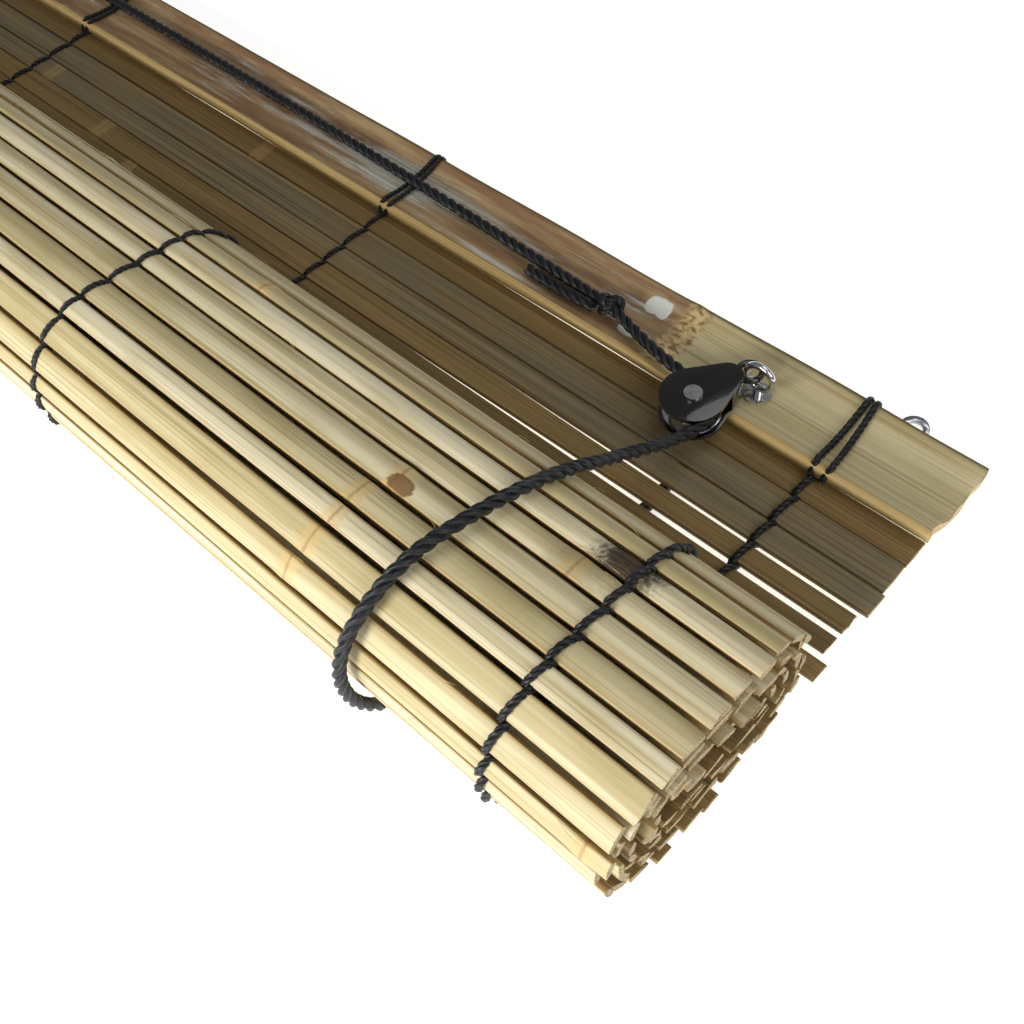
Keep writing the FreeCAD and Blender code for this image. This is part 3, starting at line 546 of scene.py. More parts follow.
def recall(graph, name):
    """A stored value, in a Geometry Nodes tree."""
    return graph.add("GeometryNodeInputNamedAttribute", {"data_type": "FLOAT"}, {"Name": name})


def shown(name, mesh):
    piece = bpy.data.objects.new(name, mesh)
    scene.collection.objects.link(piece)
    return piece


def grow(name, seed_mesh, tree, sizes):
    """Runs a tree on a mesh and returns what it makes as a plain mesh object."""
    source = shown(name + "_source", seed_mesh)
    modifier = source.modifiers.new("grow", "NODES")
    modifier.node_group = tree
    for item in tree.interface.items_tree:
        if item.in_out == "INPUT" and item.name in sizes:
            modifier[item.identifier] = sizes[item.name]
    evaluated = source.evaluated_get(bpy.context.evaluated_depsgraph_get())
    grown = bpy.data.meshes.new_from_object(evaluated)
    bpy.data.objects.remove(source)
    piece = shown(name, grown)
    print("%s: %d faces" % (name, len(grown.polygons)))
    return piece


# %% [markdown]
# ## Cords
# A cord's line is a smooth spline through space with a few given control points. Its strands are
# helices round that line. The tree below copies the line once for each strand, pushes each copy out
# sideways by an angle that grows with the distance run, and sweeps a small circle along it.

# %% The twisting tree


def twist_tree():
    tree, g, inputs = geometry_tree("twist", {
        "Strands": "Int", "Strand Radius": "Float", "Lay Radius": "Float", "Lay": "Float",
        "Step": "Float", "Sides": "Int", "Finish": "Material"})
    line = g.add("GeometryNodeMeshToCurve", None, {"Mesh": inputs["Geometry"]})
    line = g.add("GeometryNodeResampleCurve", {"mode": "LENGTH"}, {"Curve": line, "Length": inputs["Step"]})
    line = store(g, line, "run", g.add("GeometryNodeSplineParameter", None, None, "Length"))
    copies = g.add("GeometryNodeDuplicateElements", {"domain": "SPLINE"},
                   {"Geometry": line, "Amount": inputs["Strands"]})
    share = copies.beside("Duplicate Index") / inputs["Strands"]
    angle = (recall(g, "run") / inputs["Lay"] + share) * (2 * math.pi)
    normal = g.add("GeometryNodeInputNormal")
    tangent = g.add("GeometryNodeInputTangent")
    side = g.vector("CROSS_PRODUCT", tangent, normal)
    reaches = [g.add("ShaderNodeVectorMath", {"operation": "SCALE"},
                     {0: way, "Scale": g.maths(share, angle) * inputs["Lay Radius"]})
               for way, share in ((normal, "COSINE"), (side, "SINE"))]
    push = g.vector("ADD", *reaches)
    strands = g.add("GeometryNodeSetPosition", None, {"Geometry": copies, "Offset": push})
    ring = g.add("GeometryNodeCurvePrimitiveCircle", None,
                 {"Resolution": inputs["Sides"], "Radius": inputs["Strand Radius"]})
    ring_x, ring_y, _ = g.position()
    ring = store(g, ring, "round_x", ring_x / inputs["Strand Radius"])
    ring = store(g, ring, "round_y", ring_y / inputs["Strand Radius"])
    swept = g.add("GeometryNodeCurveToMesh", None,
                  {"Curve": strands, "Profile Curve": ring, "Fill Caps": True})
    smooth = g.add("GeometryNodeSetShadeSmooth", None, {"Geometry": swept})
    close_tree(g, smooth, inputs["Finish"])
    return tree


TWIST = twist_tree()

# %% [markdown]
# The cords of a roll-up blind hang from the pulleys. Each lift cord runs under the roll, up round its
# front and back over its top to a pulley. The pull cords leave the pulleys along the head slat and end in
# coils that are tied for storage. All of them are the same soft three-strand twist.

# %% Cord routes
CORD = 4.0 * MM
LOOP_RIGHT = [(331.0, 43.1, 17.3), (331.0, 33.0, 18.2), (327.6, 6.0, 34.0), (327.0, -19.0, 53.0),
              (324.5, -42.0, 60.6), (321.0, -66.5, 63.0), (318.0, -88.6, 46.0), (318.5, -90.2, 20.0),
              (320.5, -74.3, 2.0), (324.5, -67.0, 2.0), (329.2, -59.7, 2.0)]
LOOP_LEFT = [(-316.4, 43.1, 25.3), (-316.4, 33.0, 25.8), (-318.0, 6.0, 38.0), (-319.0, -19.5, 53.2),
             (-321.4, -42.0, 60.6), (-323.5, -66.5, 63.0), (-323.5, -88.6, 46.0), (-326.0, -90.2, 20.0),
             (-329.03, -72.3, 2.0), (-329.2, -59.7, 2.0)]
UNDER = [(329.2, 63.3, 3.3), (329.2, 58.2, 3.15), (329.3, 49.8, 2.0), (329.6, 33.0, 2.0), (329.8, 2.0, 2.0),
         (329.6, -29.0, 2.0), (329.2, -59.7, 2.0)]
PULL_RIGHT = [(331.0, 43.1, 17.3), (331.0, 50.4, 17.3), (314.0, 50.6, 16.9), (296.0, 55.0, 14.9),
              (277.0, 61.0, 13.6), (256.0, 62.6, 12.2), (216.0, 64.2, 12.0), (166.0, 65.8, 12.0),
              (112.0, 66.9, 12.0), (57.0, 67.5, 12.0), (2.0, 67.6, 12.0), (-53.0, 67.2, 12.0),
              (-108.0, 66.3, 12.0), (-162.0, 64.9, 12.0), (-214.0, 62.9, 12.1), (-252.0, 60.6, 12.6),
              (-277.0, 57.6, 13.8), (-296.0, 53.8, 15.6), (-313.0, 51.2, 16.9), (-331.0, 50.4, 17.3),
              (-331.0, 33.0, 17.2), (-333.0, 22.0, 13.2), (-341.0, 12.0, 10.8), (-354.0, 6.5, 9.8),
              (-370.0, 5.0, 9.4), (-387.0, 7.0, 9.2), (-403.0, 10.0, 8.6), (-417.0, 12.0, 5.6),
              (-431.0, 12.6, 3.0), (-444.0, 12.4, 2.0), (-457.0, 12.1, 2.2)]
PULL_LEFT = [(-316.4, 43.1, 25.3), (-316.4, 50.4, 25.3), (-331.0, 50.4, 25.3), (-331.0, 33.0, 25.0),
             (-332.0, 24.5, 21.0), (-337.0, 19.3, 15.8), (-347.0, 16.6, 11.8), (-361.0, 15.8, 10.0),
             (-378.0, 16.6, 9.4), (-395.0, 19.0, 9.0), (-408.0, 21.6, 7.6), (-422.0, 23.6, 4.4),
             (-437.0, 24.4, 2.4), (-447.0, 24.4, 2.0), (-457.0, 24.1, 2.2)]
SPLICE_TAIL = [(273.0, 57.2, 13.6), (264.0, 56.9, 12.9), (254.0, 57.1, 12.5), (244.5, 57.8, 12.4)]
END_RIGHT = [(-461.0, -42.4, 14.4), (-452.0, -43.0, 11.8), (-443.5, -41.5, 8.0), (-436.0, -37.5, 5.2),
             (-430.5, -31.0, 4.2)]
END_LEFT = [(-461.0, 78.5, 14.4), (-452.0, 79.1, 11.8), (-443.5, 77.6, 8.0), (-436.0, 73.6, 5.2),
            (-430.5, 67.1, 4.2)]

# %% [markdown]
# A stored coil is a winding: turns side by side in a layer, and layers on each other. Each turn is drawn
# with fourteen control points on a circle, pushed out a little because a spline runs inside its points.
# In the last fifth of each turn the cord moves over to the next place.

# %% Coil turns
COIL_RADII = (27.0, 23.0, 19.0)
COIL_ROWS = (2.8, 6.8, 10.8, 14.8)
TURN_POINTS = 14
INSIDE_RUN = 0.985


def coil_points(centre, start, way, turns):
    """Control points in millimetres for a coil that starts at an angle in degrees."""
    seats = []
    for row, height in enumerate(COIL_ROWS):
        radii = COIL_RADII if row % 2 == 0 else COIL_RADII[::-1]
        seats.extend((radius, height) for radius in radii)
    points = []
    for step in range(1, round(turns * TURN_POINTS) + 1):
        turn, part = divmod(step / TURN_POINTS, 1.0)
        here = seats[min(int(turn), len(seats) - 1)]
        following = seats[min(int(turn) + 1, len(seats) - 1)]
        shift = max(0.0, part - 0.8) / 0.2
        radius = (here[0] + (following[0] - here[0]) * shift) / INSIDE_RUN
        height = here[1] + (following[1] - here[1]) * shift
        angle = math.radians(start + way * 360 * step / TURN_POINTS)
        points.append((centre[0] + radius * math.cos(angle), centre[1] + radius * math.sin(angle), height))
    return points


WINDING_RIGHT = coil_points((-470.0, -15.0), 90.0, 1, 11.5)
WINDING_LEFT = coil_points((-470.0, 51.1), -90.0, -1, 11.5)

# %% [markdown]
# ### From points to cords
# A line of control points becomes a mesh of points and edges. The twisting tree then turns that line into
# strands, and the same points give the cord's true length.

# %% Cord lines and tubes
FINE_STEPS = 12
THREAD_STEPS = 4
STRAND_SHARE = 0.25
LAY_SHARE = 3.2


def spline_lines(name, runs):
    """Smooth lines from lists of control points in millimetres, as one mesh of points and edges."""
    curve = bpy.data.curves.new(name, "CURVE")
    curve.dimensions = "3D"
    for points in runs:
        spline = curve.splines.new("NURBS")
        spline.points.add(len(points) - 1)
        for point, (x, y, z) in zip(spline.points, points):
            point.co = (x * MM, y * MM, z * MM, 1.0)
        spline.order_u = 3
        spline.use_endpoint_u = True
        spline.resolution_u = FINE_STEPS if len(runs) == 1 else THREAD_STEPS
    carrier = bpy.data.objects.new(name, curve)
    scene.collection.objects.link(carrier)
    evaluated = carrier.evaluated_get(bpy.context.evaluated_depsgraph_get())
    line = bpy.data.meshes.new_from_object(evaluated)
    bpy.data.objects.remove(carrier)
    return line


def line_length(places):
    return sum(math.dist(a, b) for a, b in zip(places, places[1:]))


def twisted(name, line, diameter, finish, strands=3, step=1.25 * MM, sides=8):
    """A cord or thread of twisted strands along a line."""
    strand = diameter * STRAND_SHARE
    return grow(name, line, TWIST, {
        "Strands": strands, "Strand Radius": strand, "Lay Radius": diameter / 2 - strand,
        "Lay": diameter * LAY_SHARE, "Step": step, "Sides": sides, "Finish": finish})


def lay_cord(name, points):
    """A cord of the full thickness through control points, and the places along its line."""
    line = spline_lines(name, [points])
    places = [tuple(vertex.co) for vertex in line.vertices]
    piece = twisted(name, line, CORD, CORD_FINISH)
    print("%s: %.0f mm long" % (name, line_length(places) / MM))
    return piece, places

# %% [markdown]
# ### Knots
# The pull cord is joined by a small overhand knot, and each free end is stopped by one. A trefoil is the
# mathematician's overhand knot: two sines for the plan and one for the rise.

# %% Knots
KNOT_SIZE = 1.25
KNOT_RISE = 1.15
KNOT_POINTS = 24
KNOT_CORD = 2.9 * MM


def knot(name, centre, spin=0.0):
    """A small tight knot at a place in millimetres, turned by an angle on the table."""
    points = []
    for step in range(KNOT_POINTS + 1):
        t = 2 * math.pi * step / KNOT_POINTS
        u = KNOT_SIZE * (math.sin(t) + 2 * math.sin(2 * t))
        v = KNOT_SIZE * (math.cos(t) - 2 * math.cos(2 * t))
        w = -KNOT_SIZE * KNOT_RISE * math.sin(3 * t)
        points.append((centre[0] + u * math.cos(spin) - v * math.sin(spin),
                       centre[1] + u * math.sin(spin) + v * math.cos(spin), centre[2] + w))
    piece = twisted(name, spline_lines(name, [points]), KNOT_CORD, CORD_FINISH, step=0.8 * MM)
    return piece


splice_knot = knot("splice_knot_looks", (277.0, 61.0, 13.9))
end_knot_right = knot("end_knot_right_looks", (-429.0, -28.5, 4.4), spin=0.6)
end_knot_left = knot("end_knot_left_looks", (-429.0, 64.6, 4.4), spin=2.1)

# %% [markdown]
# ### Lift cords
# A lift cord's loop goes with the roll when the blind opens, while its end at the pulley stays; here the
# loop is left in place and not attached to either body. Under the sheet the cord runs on to a loop round
# the screw eye's shank.

# %% Lift cords
SHANK = (329.2, 65.3, 3.3)
SHANK_RING = 3.6
RING_POINTS = 12

for word, loop_points, side in (("right", LOOP_RIGHT, 1), ("left", LOOP_LEFT, -1)):
    loop, loop_places = lay_cord("lift_cord_" + word, loop_points)
    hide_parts("lift_loop_" + word)
    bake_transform(loop)
    turns = [2 * math.pi * step / RING_POINTS for step in range(RING_POINTS + 1)]
    around = [((SHANK[0] + SHANK_RING * math.cos(turn)) * side, SHANK[1] + SHANK_RING * math.sin(turn),
               SHANK[2]) for turn in turns]
    ring = twisted("lift_ring_" + word, spline_lines("lift_ring_" + word, [around]), 3.9 * MM, CORD_FINISH)
    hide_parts("lift_tie_" + word)
    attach(ring, "head")
    under, under_places = lay_cord("lift_cord_under_" + word, [(side * x, y, z) for x, y, z in UNDER])
    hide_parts("lift_under_" + word)
    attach(under, "head")

# %% [markdown]
# The knot by the right pulley leaves a short tail of cord that lies beside the pull cord.

# %% Splice tail
tail, _ = lay_cord("splice_tail_looks", SPLICE_TAIL)
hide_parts("splice_tail")
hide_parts("splice_knot")
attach(tail, "head")
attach(splice_knot, "head")

# %% [markdown]
# ### Coil ties
# A thin thread goes four times round each coil's side. Its turns follow the CAD tie's box, so the sine and
# cosine are scaled up and cut off at one, which makes a round path nearly square.

# %% Coil ties
TIE_TURNS = 4
TIE_POINTS = 8
TIE_SPREAD = 3.2
TIE_INSET = 0.4
TIE_SQUARENESS = 1.35
TIE_THREAD = 0.9 * MM

for word in ("right", "left"):
    low, high = (np.array(corner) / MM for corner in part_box("coil_tie_" + word))
    middle, reach = (low + high) / 2, (high - low) / 2 - TIE_INSET
    points = []
    for step in range(TIE_TURNS * TIE_POINTS + 1):
        angle = 2 * math.pi * step / TIE_POINTS
        corner_y = max(-1.0, min(1.0, TIE_SQUARENESS * math.cos(angle)))
        corner_z = max(-1.0, min(1.0, TIE_SQUARENESS * math.sin(angle)))
        drift = TIE_SPREAD * (step / (TIE_TURNS * TIE_POINTS) - 0.5)
        points.append((middle[0] + drift, middle[1] + corner_y * reach[1], middle[2] + corner_z * reach[2]))
    tie = twisted("coil_tie_thread_" + word, spline_lines("coil_tie_" + word, [points]), TIE_THREAD,
                  THREAD_FINISH, sides=5)
    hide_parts("coil_tie_" + word)
    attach(tie, "head")

# %% [markdown]
# ### Pull cords
# Each pull cord is one line: along the head slat, round its coil and out to its free end.

# %% Pull cords
for word, run_points, winding, end_points, end_knot, joined in (
        ("right", PULL_RIGHT, WINDING_RIGHT, END_RIGHT, end_knot_right, [splice_knot, tail]),
        ("left", PULL_LEFT, WINDING_LEFT, END_LEFT, end_knot_left, [])):
    pull, pull_places = lay_cord("pull_line_" + word, run_points + winding + end_points)
    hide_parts("pull_cord_" + word, "coil_" + word, "cord_end_" + word)
    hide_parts("end_knot_" + word)
    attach(pull, "head")
    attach(end_knot, "head")

# %% [markdown]
# ## Slats
# Every slat is a strip of the same culm: a bar with a domed skin face, flat pith and edges that are never
# quite straight. The CAD frame has each one as a plain bar, so its place, turn and size are read from
# there. Slats that move together share a body, and each body becomes one mesh.

# %% Reading bars from the frame


def loose_parts(mesh):
    """Corner arrays of the closed parts of a mesh of loose triangles, in the order they were made."""
    places = np.array([vertex.co[:] for vertex in mesh.vertices])
    corners, index = np.unique(np.round(places, 6), axis=0, return_inverse=True)
    index = index.reshape(-1)
    leader = list(range(len(corners)))

    def find(item):
        while leader[item] != item:
            leader[item] = leader[leader[item]]
            item = leader[item]
        return item

    for face in mesh.polygons:
        first = find(index[face.vertices[0]])
        for vertex in face.vertices[1:]:
            leader[find(index[vertex])] = first
    groups = {}
    for vertex in range(len(places)):
        groups.setdefault(find(index[vertex]), set()).add(index[vertex])
    return [corners[sorted(group)] for group in groups.values()]


def bar_facts(corners):
    """Middle, turn, length, width and thickness of a bar that lies along X; its skin is its wider face."""
    ends = corners[:, 0].min(), corners[:, 0].max()
    section = np.unique(np.round(corners[:, 1:], 5), axis=0)
    middle = section.mean(axis=0)
    spread = section - middle
    along = np.linalg.svd(spread)[2][0]
    out = np.array((-along[1], along[0]))
    height = spread @ out
    upper = spread[height > 0] @ along
    lower = spread[height < 0] @ along
    if np.ptp(upper) < np.ptp(lower):
        out = -out
        upper, lower = lower, upper
    return {"middle": (sum(ends) / 2, *middle), "turn": math.atan2(-out[0], out[1]),
            "long": ends[1] - ends[0], "wide": np.ptp(upper), "thick": np.ptp(height),
            "pinch": 1 - np.ptp(lower) / np.ptp(upper)}


LINKS = [name for name in frame["bodies"] if name.startswith("wrap_")]
SHEET_BODIES = {"apron": "head", **{name: name for name in sorted(LINKS)}, "core": "roll_core"}
PLAIN = {"grey": 0.0, "scar": 0.0, "burn": 0.0}
chance = np.random.default_rng(7)
slats = {}
number = 0
for part_name in SHEET_BODIES:
    slats[part_name] = [bar_facts(part) for part in loose_parts(frame["nodes"][part_name + "_slats"].data)]
    for bar in slats[part_name]:
        bar.update(PLAIN, number=number, tone=chance.random(), knot_a=chance.uniform(-0.38, -0.12),
                   knot_b=chance.uniform(-0.06, 0.17), parting=chance.uniform(0.2, 2.7))
        number += 1
every_slat = [bar for bars in slats.values() for bar in bars]
steps = [math.dist(a["middle"], b["middle"]) / MM for a, b in zip(every_slat, every_slat[1:])]
print("slats: %d, middles %.1f to %.1f mm apart" % (len(every_slat), min(steps), max(steps)))

# %% [markdown]
# A culm's joints line up across slats that were split from one stick and laid side by side, so a few
# neighbours share a row of node scars near the right end. One slat has a burnt node under a thread. The
# first slat reaches under the head slat's rim, and its neighbours have gone grey. Towards the right end the
# slats of the flat sheet part, some more than others.

# %% Marks on single slats
JOINTS = {17: 0.392, 18: 0.2915, 19: 0.2938, 20: 0.2950, 21: 0.2941, 22: 0.2984, 23: 0.349, 24: 0.358,
          25: 0.216}
MARKS = ((1, "grey", 1.0), (2, "grey", 0.8), (22, "scar", 1.0), (23, "burn", 0.25), (24, "burn", 1.0))
PARTINGS = (0.0, 0.0, 0.4, 2.0, 1.2, 2.3, 2.5, 1.9, 2.7, 2.2, 2.4, 1.5)
TUCKED_IN = 2.4 * MM
WORN_SHORT = 2.6 * MM

for place, joint in JOINTS.items():
    every_slat[place]["knot_a"] = joint
for place, mark, strength in MARKS:
    every_slat[place][mark] = strength
every_slat[0]["wide"] += TUCKED_IN
every_slat[0]["middle"] = tuple(np.add(every_slat[0]["middle"], (0.0, TUCKED_IN / 2, 0.0)))
for bar in every_slat:
    short_left, short_right = (chance.random(2) ** 2) * WORN_SHORT
    bar["long"] -= short_left + short_right
    bar["middle"] = tuple(np.add(bar["middle"], ((short_left - short_right) / 2, 0.0, 0.0)))
for bar, parting in zip(every_slat, PARTINGS):
    bar["parting"] = parting

# %% [markdown]
# The tree starts from a bar one unit long, wide and thick, and puts a scaled and turned copy on each seed
# point. Then it moves the points: edges wander, the skin is domed and swells at each joint, the ends are
# ragged. Rounding is a power, which pulls a circle towards a square.

# %% The slat tree


def slat_tree():
    tree, g, inputs = geometry_tree("slats", {
        "Stations": "Int", "Sides": "Int", "Edge Roundness": "Float", "Face Roundness": "Float",
        "Dome": "Float", "Wander": "Float", "Spread": "Float", "Node Swell": "Float", "Ragged": "Float",
        "Finish": "Material"})
    line = g.add("GeometryNodeCurvePrimitiveLine", None, {"Start": (-0.5, 0, 0), "End": (0.5, 0, 0)})
    line = g.add("GeometryNodeResampleCurve", None, {"Curve": line, "Count": inputs["Stations"]})
    ring = g.add("GeometryNodeCurvePrimitiveCircle", None, {"Resolution": inputs["Sides"], "Radius": 1.0})
    ring_x, ring_y, _ = g.position()
    ring = store(g, ring, "across", g.maths("SIGN", ring_x) * abs(ring_x) ** inputs["Edge Roundness"])
    ring = store(g, ring, "face", g.maths("SIGN", ring_y) * abs(ring_y) ** inputs["Face Roundness"])
    bar = g.add("GeometryNodeCurveToMesh", None, {"Curve": line, "Profile Curve": ring, "Fill Caps": True})
    station, _, _ = g.position()
    even = station * 0.55 + g.maths("SINE", station * math.pi) * 0.225
    bar = store(g, bar, "along", even)
    across, face, along = recall(g, "across"), recall(g, "face"), recall(g, "along")
    bar = g.add("GeometryNodeSetPosition", None,
                {"Geometry": bar, "Position": g.join(along, across * 0.5, face * 0.5)})
    turn = recall(g, "turn")
    placed = g.add("GeometryNodeInstanceOnPoints", None, {
        "Points": inputs["Geometry"], "Instance": bar,
        "Rotation": g.add("FunctionNodeEulerToRotation", None, {"Euler": g.join(turn, 0.0, 0.0)}),
        "Scale": g.join(recall(g, "long"), recall(g, "wide"), recall(g, "thick"))})
    solid = g.add("GeometryNodeRealizeInstances", None, {"Geometry": placed})

    x, _, _ = g.position()
    slat = recall(g, "number")

    def wave(pitch, seed):
        return g.grain(x * pitch, slat * seed, 0.0) - 0.5

    skin = g.step(face, 0.0, 0.5)
    wander = inputs["Wander"]
    taper = across * recall(g, "wide") * recall(g, "pinch") * (face - 1.0) * 0.25
    close = across * inputs["Spread"] * (1.0 - g.step(x, 0.2, 0.36) * recall(g, "parting"))
    sideways = taper + close + across * wave(9.0, 3.1) * wander * 1.6 + wave(3.5, 7.7) * wander * 1.3
    crown = (1.0 - across ** 2.0) * inputs["Dome"] * (skin * 0.7 + 0.3)
    lift = crown + wave(3.0, 5.9) * wander * 0.9 + across * wave(4.0, 9.1) * wander * 1.1
    swell = g.peak(x - recall(g, "knot_a"), 2.6 * MM) + g.peak(x - recall(g, "knot_b"), 2.6 * MM)
    lift = lift + swell * inputs["Node Swell"] * skin
    end = g.step(abs(along), 0.4955, 0.5) * g.maths("SIGN", along)
    splinter = g.grain(across * 1.7, face * 1.3, slat * 4.3, 3.0) - 0.5
    lengthways = end * splinter * inputs["Ragged"]
    cosine = g.maths("COSINE", turn)
    sine = g.maths("SINE", turn)
    push = g.join(lengthways, sideways * cosine - lift * sine, sideways * sine + lift * cosine)
    solid = g.add("GeometryNodeSetPosition", None, {"Geometry": solid, "Offset": push})
    smooth = g.add("GeometryNodeSetShadeSmooth", None, {"Geometry": solid})
    close_tree(g, smooth, inputs["Finish"])
    return tree


SLATS = slat_tree()
BAR_FACTS = ("turn", "long", "wide", "thick", "pinch", "number", "tone", "knot_a", "knot_b", "grey", "scar",
             "burn", "parting")


def flatten_ends(mesh):
    """Cut ends stay flat shaded, and faces that ended up inside out are turned round."""
    volume = sum(face.center.dot(face.normal) * face.area for face in mesh.polygons)
    if volume < 0:
        mesh.flip_normals()
    for face in mesh.polygons:
        if abs(face.normal.x) > 0.7:
            face.use_smooth = False


def bars_mesh(name, bars, finish, **sizes):
    """One mesh of bars, grown from one seed point for each."""
    seed = bpy.data.meshes.new(name + "_seed")
    seed.from_pydata([bar["middle"] for bar in bars], [], [])
    for fact in BAR_FACTS:
        seed.attributes.new(fact, "FLOAT", "POINT").data.foreach_set("value", [bar[fact] for bar in bars])
    piece = grow(name, seed, SLATS, {"Finish": finish, **sizes})
    flatten_ends(piece.data)
    return piece


# %% [markdown]
# Slats deep in the roll hardly show, so they get fewer points than the first turn's.

# %% Slats for each body
FINE_BAR = {"Stations": 200, "Sides": 16, "Edge Roundness": 0.22, "Face Roundness": 0.45,
            "Dome": 0.45 * MM, "Wander": 0.68 * MM, "Spread": 0.1 * MM, "Node Swell": 0.5 * MM,
            "Ragged": 1.6 * MM}
HIDDEN_BAR = {**FINE_BAR, "Stations": 90, "Sides": 12}
FIRST_TURN = 20

for part_name, body in SHEET_BODIES.items():
    bars = slats[part_name]
    near = bars[:FIRST_TURN]
    sizes = {**FINE_BAR, "Spread": 0.62 * MM, "Wander": 0.4 * MM} if part_name == "apron" else FINE_BAR
    piece = bars_mesh(part_name + "_bamboo", near, SLAT_FINISH, **sizes)
    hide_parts(part_name + "_slats")
    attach(piece, body)
    if bars[FIRST_TURN:]:
        inner = bars_mesh(part_name + "_inner_bamboo", bars[FIRST_TURN:], SLAT_FINISH, **HIDDEN_BAR)
        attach(inner, body)

# %% [markdown]
# ## Warp threads
# Each row is two twined strands. One passes over a slat's skin while the other passes under its pith, they
# cross in the gap, and then they change places. Seen from above each stitch is a short slant, and all of
# them slant the same way.

# %% Twined strands
WARP_X = sorted(float(part[:, 0].mean()) / MM for part in loose_parts(frame["nodes"]["head_stitches"].data))
STOUT = 2.3
THIN = 1.75
SLANT = 0.42
BEND_AT = 0.36
PAST_EDGE = 0.5
OVER_DOME = 0.25


def twined(bars, row, thread, first_face):
    """Control points in millimetres of one strand past these bars; it starts on first_face."""
    points = []
    for place, bar in enumerate(bars):
        front = first_face * (1 if place % 2 == 0 else -1)
        _, y, z = (value / MM for value in bar["middle"])
        turn = bar["turn"]
        along = (math.cos(turn), math.sin(turn))
        out = (-math.sin(turn), math.cos(turn))
        wide, thick = bar["wide"] / MM, bar["thick"] / MM
        reach = wide / 2 + PAST_EDGE
        rise = front * (thick / 2 + thread * 0.525 + (OVER_DOME if front > 0 else 0.0))
        spots = [(-reach, 0.0, -1.0), (-BEND_AT * wide, rise, -0.45), (BEND_AT * wide, rise, 0.45)]
        if place == len(bars) - 1:
            spots.append((reach, 0.0, 1.0))
        for a, n, share in spots:
            points.append((row + front * share * SLANT * thread, y + a * along[0] + n * out[0],
                           z + a * along[1] + n * out[1]))
    return points


def warp_threads(name, bars, rows, thread, **looks):
    runs = [twined(bars, row, thread, face) for row in rows for face in (1, -1)]
    piece = twisted(name, spline_lines(name, runs), thread * MM, THREAD_FINISH, **looks)
    return piece


for part_name, body in SHEET_BODIES.items():
    bars = slats[part_name]
    near = bars[:FIRST_TURN]
    stout = warp_threads(part_name + "_stout_thread", near, WARP_X[-1:], STOUT, sides=6, step=0.8 * MM)
    thin = warp_threads(part_name + "_thread", near, WARP_X[:-1], THIN, sides=5, step=0.8 * MM)
    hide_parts(part_name + "_stitches")
    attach(stout, body)
    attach(thin, body)
    if bars[FIRST_TURN:]:
        deep = warp_threads(part_name + "_inner_thread", bars[FIRST_TURN:], WARP_X, THIN, strands=1,
                            sides=5, step=2.0 * MM)
        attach(deep, body)

# %% [markdown]
# ## The head slat
# It is cut from a much wider piece of culm, so its section is an arc. A strip of quads bent to that arc is
# enough: the joint's ridge, the uneven edges and the worn ends are moves of its points.

# %% Head slat mesh
head_low, head_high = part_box("head_slat")
CULM_INNER = 45.0
CULM_OUTER = 48.2
HEAD_HALF = 15.0
HEAD_LONG = 800.0
RIDGE_HALF = 2.4 * MM
RIDGE_RISE = 0.75
WORN_END = 2.0
head_middle = (head_low[1] + head_high[1]) / 2 / MM
culm_axis = head_low[2] / MM + CULM_OUTER
HEAD_STATIONS = 520
HEAD_ACROSS = 16


def ripple(x, y, z=0.0):
    """Smooth noise from about -0.5 to 0.5."""
    return mathutils_noise.noise(Vector((x, y, z))) * 0.6


def head_face(radius, across):
    return culm_axis - math.sqrt(radius ** 2 - (HEAD_HALF * across) ** 2)


def head_point(x, across, inside):
    """A point of the head slat; x and the result are in metres, and across goes from -1 to 1."""
    y = head_middle + HEAD_HALF * across
    z = head_face(CULM_INNER if inside else CULM_OUTER, across)
    z += ripple(x * 9, across * 1.5, 3.0 if inside else 8.0) * 0.5
    if inside:
        ridge = sum(1 / (1 + ((x - knot_x) / RIDGE_HALF) ** 2) for knot_x in HEAD_KNOTS)
        z += ridge * RIDGE_RISE * (1 - 0.4 * across ** 2)
    if abs(across) > 0.9:
        y += across * ripple(x * 16, 5.0 + across) * 0.9
    end = min(1.0, max(0.0, (abs(x) / MM - HEAD_LONG / 2 + WORN_END) / WORN_END))
    x_mm = x / MM + math.copysign(end, x) * (ripple(across * 2.6, 1.0 if inside else 1.4, x) * 2.2 - 0.4)
    return x_mm * MM, y * MM, z * MM


def head_mesh():
    spread = [-1 + 2 * j / HEAD_ACROSS for j in range(HEAD_ACROSS + 1)]
    loop = [(a, True) for a in spread] + [(a, False) for a in reversed(spread)]
    points = []
    for station in range(HEAD_STATIONS + 1):
        x = HEAD_LONG * MM * (station / HEAD_STATIONS - 0.5)
        points.extend(head_point(x, a, inside) for a, inside in loop)
    count = len(loop)
    faces = []
    for station in range(HEAD_STATIONS):
        for j in range(count):
            a, b = station * count + j, station * count + (j + 1) % count
            faces.append((a, b, b + count, a + count))
    last = HEAD_STATIONS * count
    for inner in range(HEAD_ACROSS):
        outer = count - 1 - inner
        faces.append((inner, outer, outer - 1, inner + 1))
        faces.append((last + inner, last + inner + 1, last + outer - 1, last + outer))
    mesh = bpy.data.meshes.new("head_slat_bamboo")
    mesh.from_pydata(points, [], faces)
    mesh.shade_smooth()
    for fact, values in zip(("across", "inside"), zip(*loop)):
        stored = mesh.attributes.new(fact, "FLOAT", "POINT")
        stored.data.foreach_set("value", [float(value) for value in values] * (HEAD_STATIONS + 1))
    mesh.materials.append(HEAD_FINISH)
    flatten_ends(mesh)
    return mesh


head_piece = shown("head_slat_bamboo", head_mesh())
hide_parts("head_slat")
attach(head_piece, "head")
print("head slat: %d faces" % len(head_piece.data.polygons))

# %% [markdown]
# The first threads go round the head slat too. There the two strands lie side by side, drawn together at
# the far edge and a few millimetres apart at the near one.

# %% Threads round the head slat


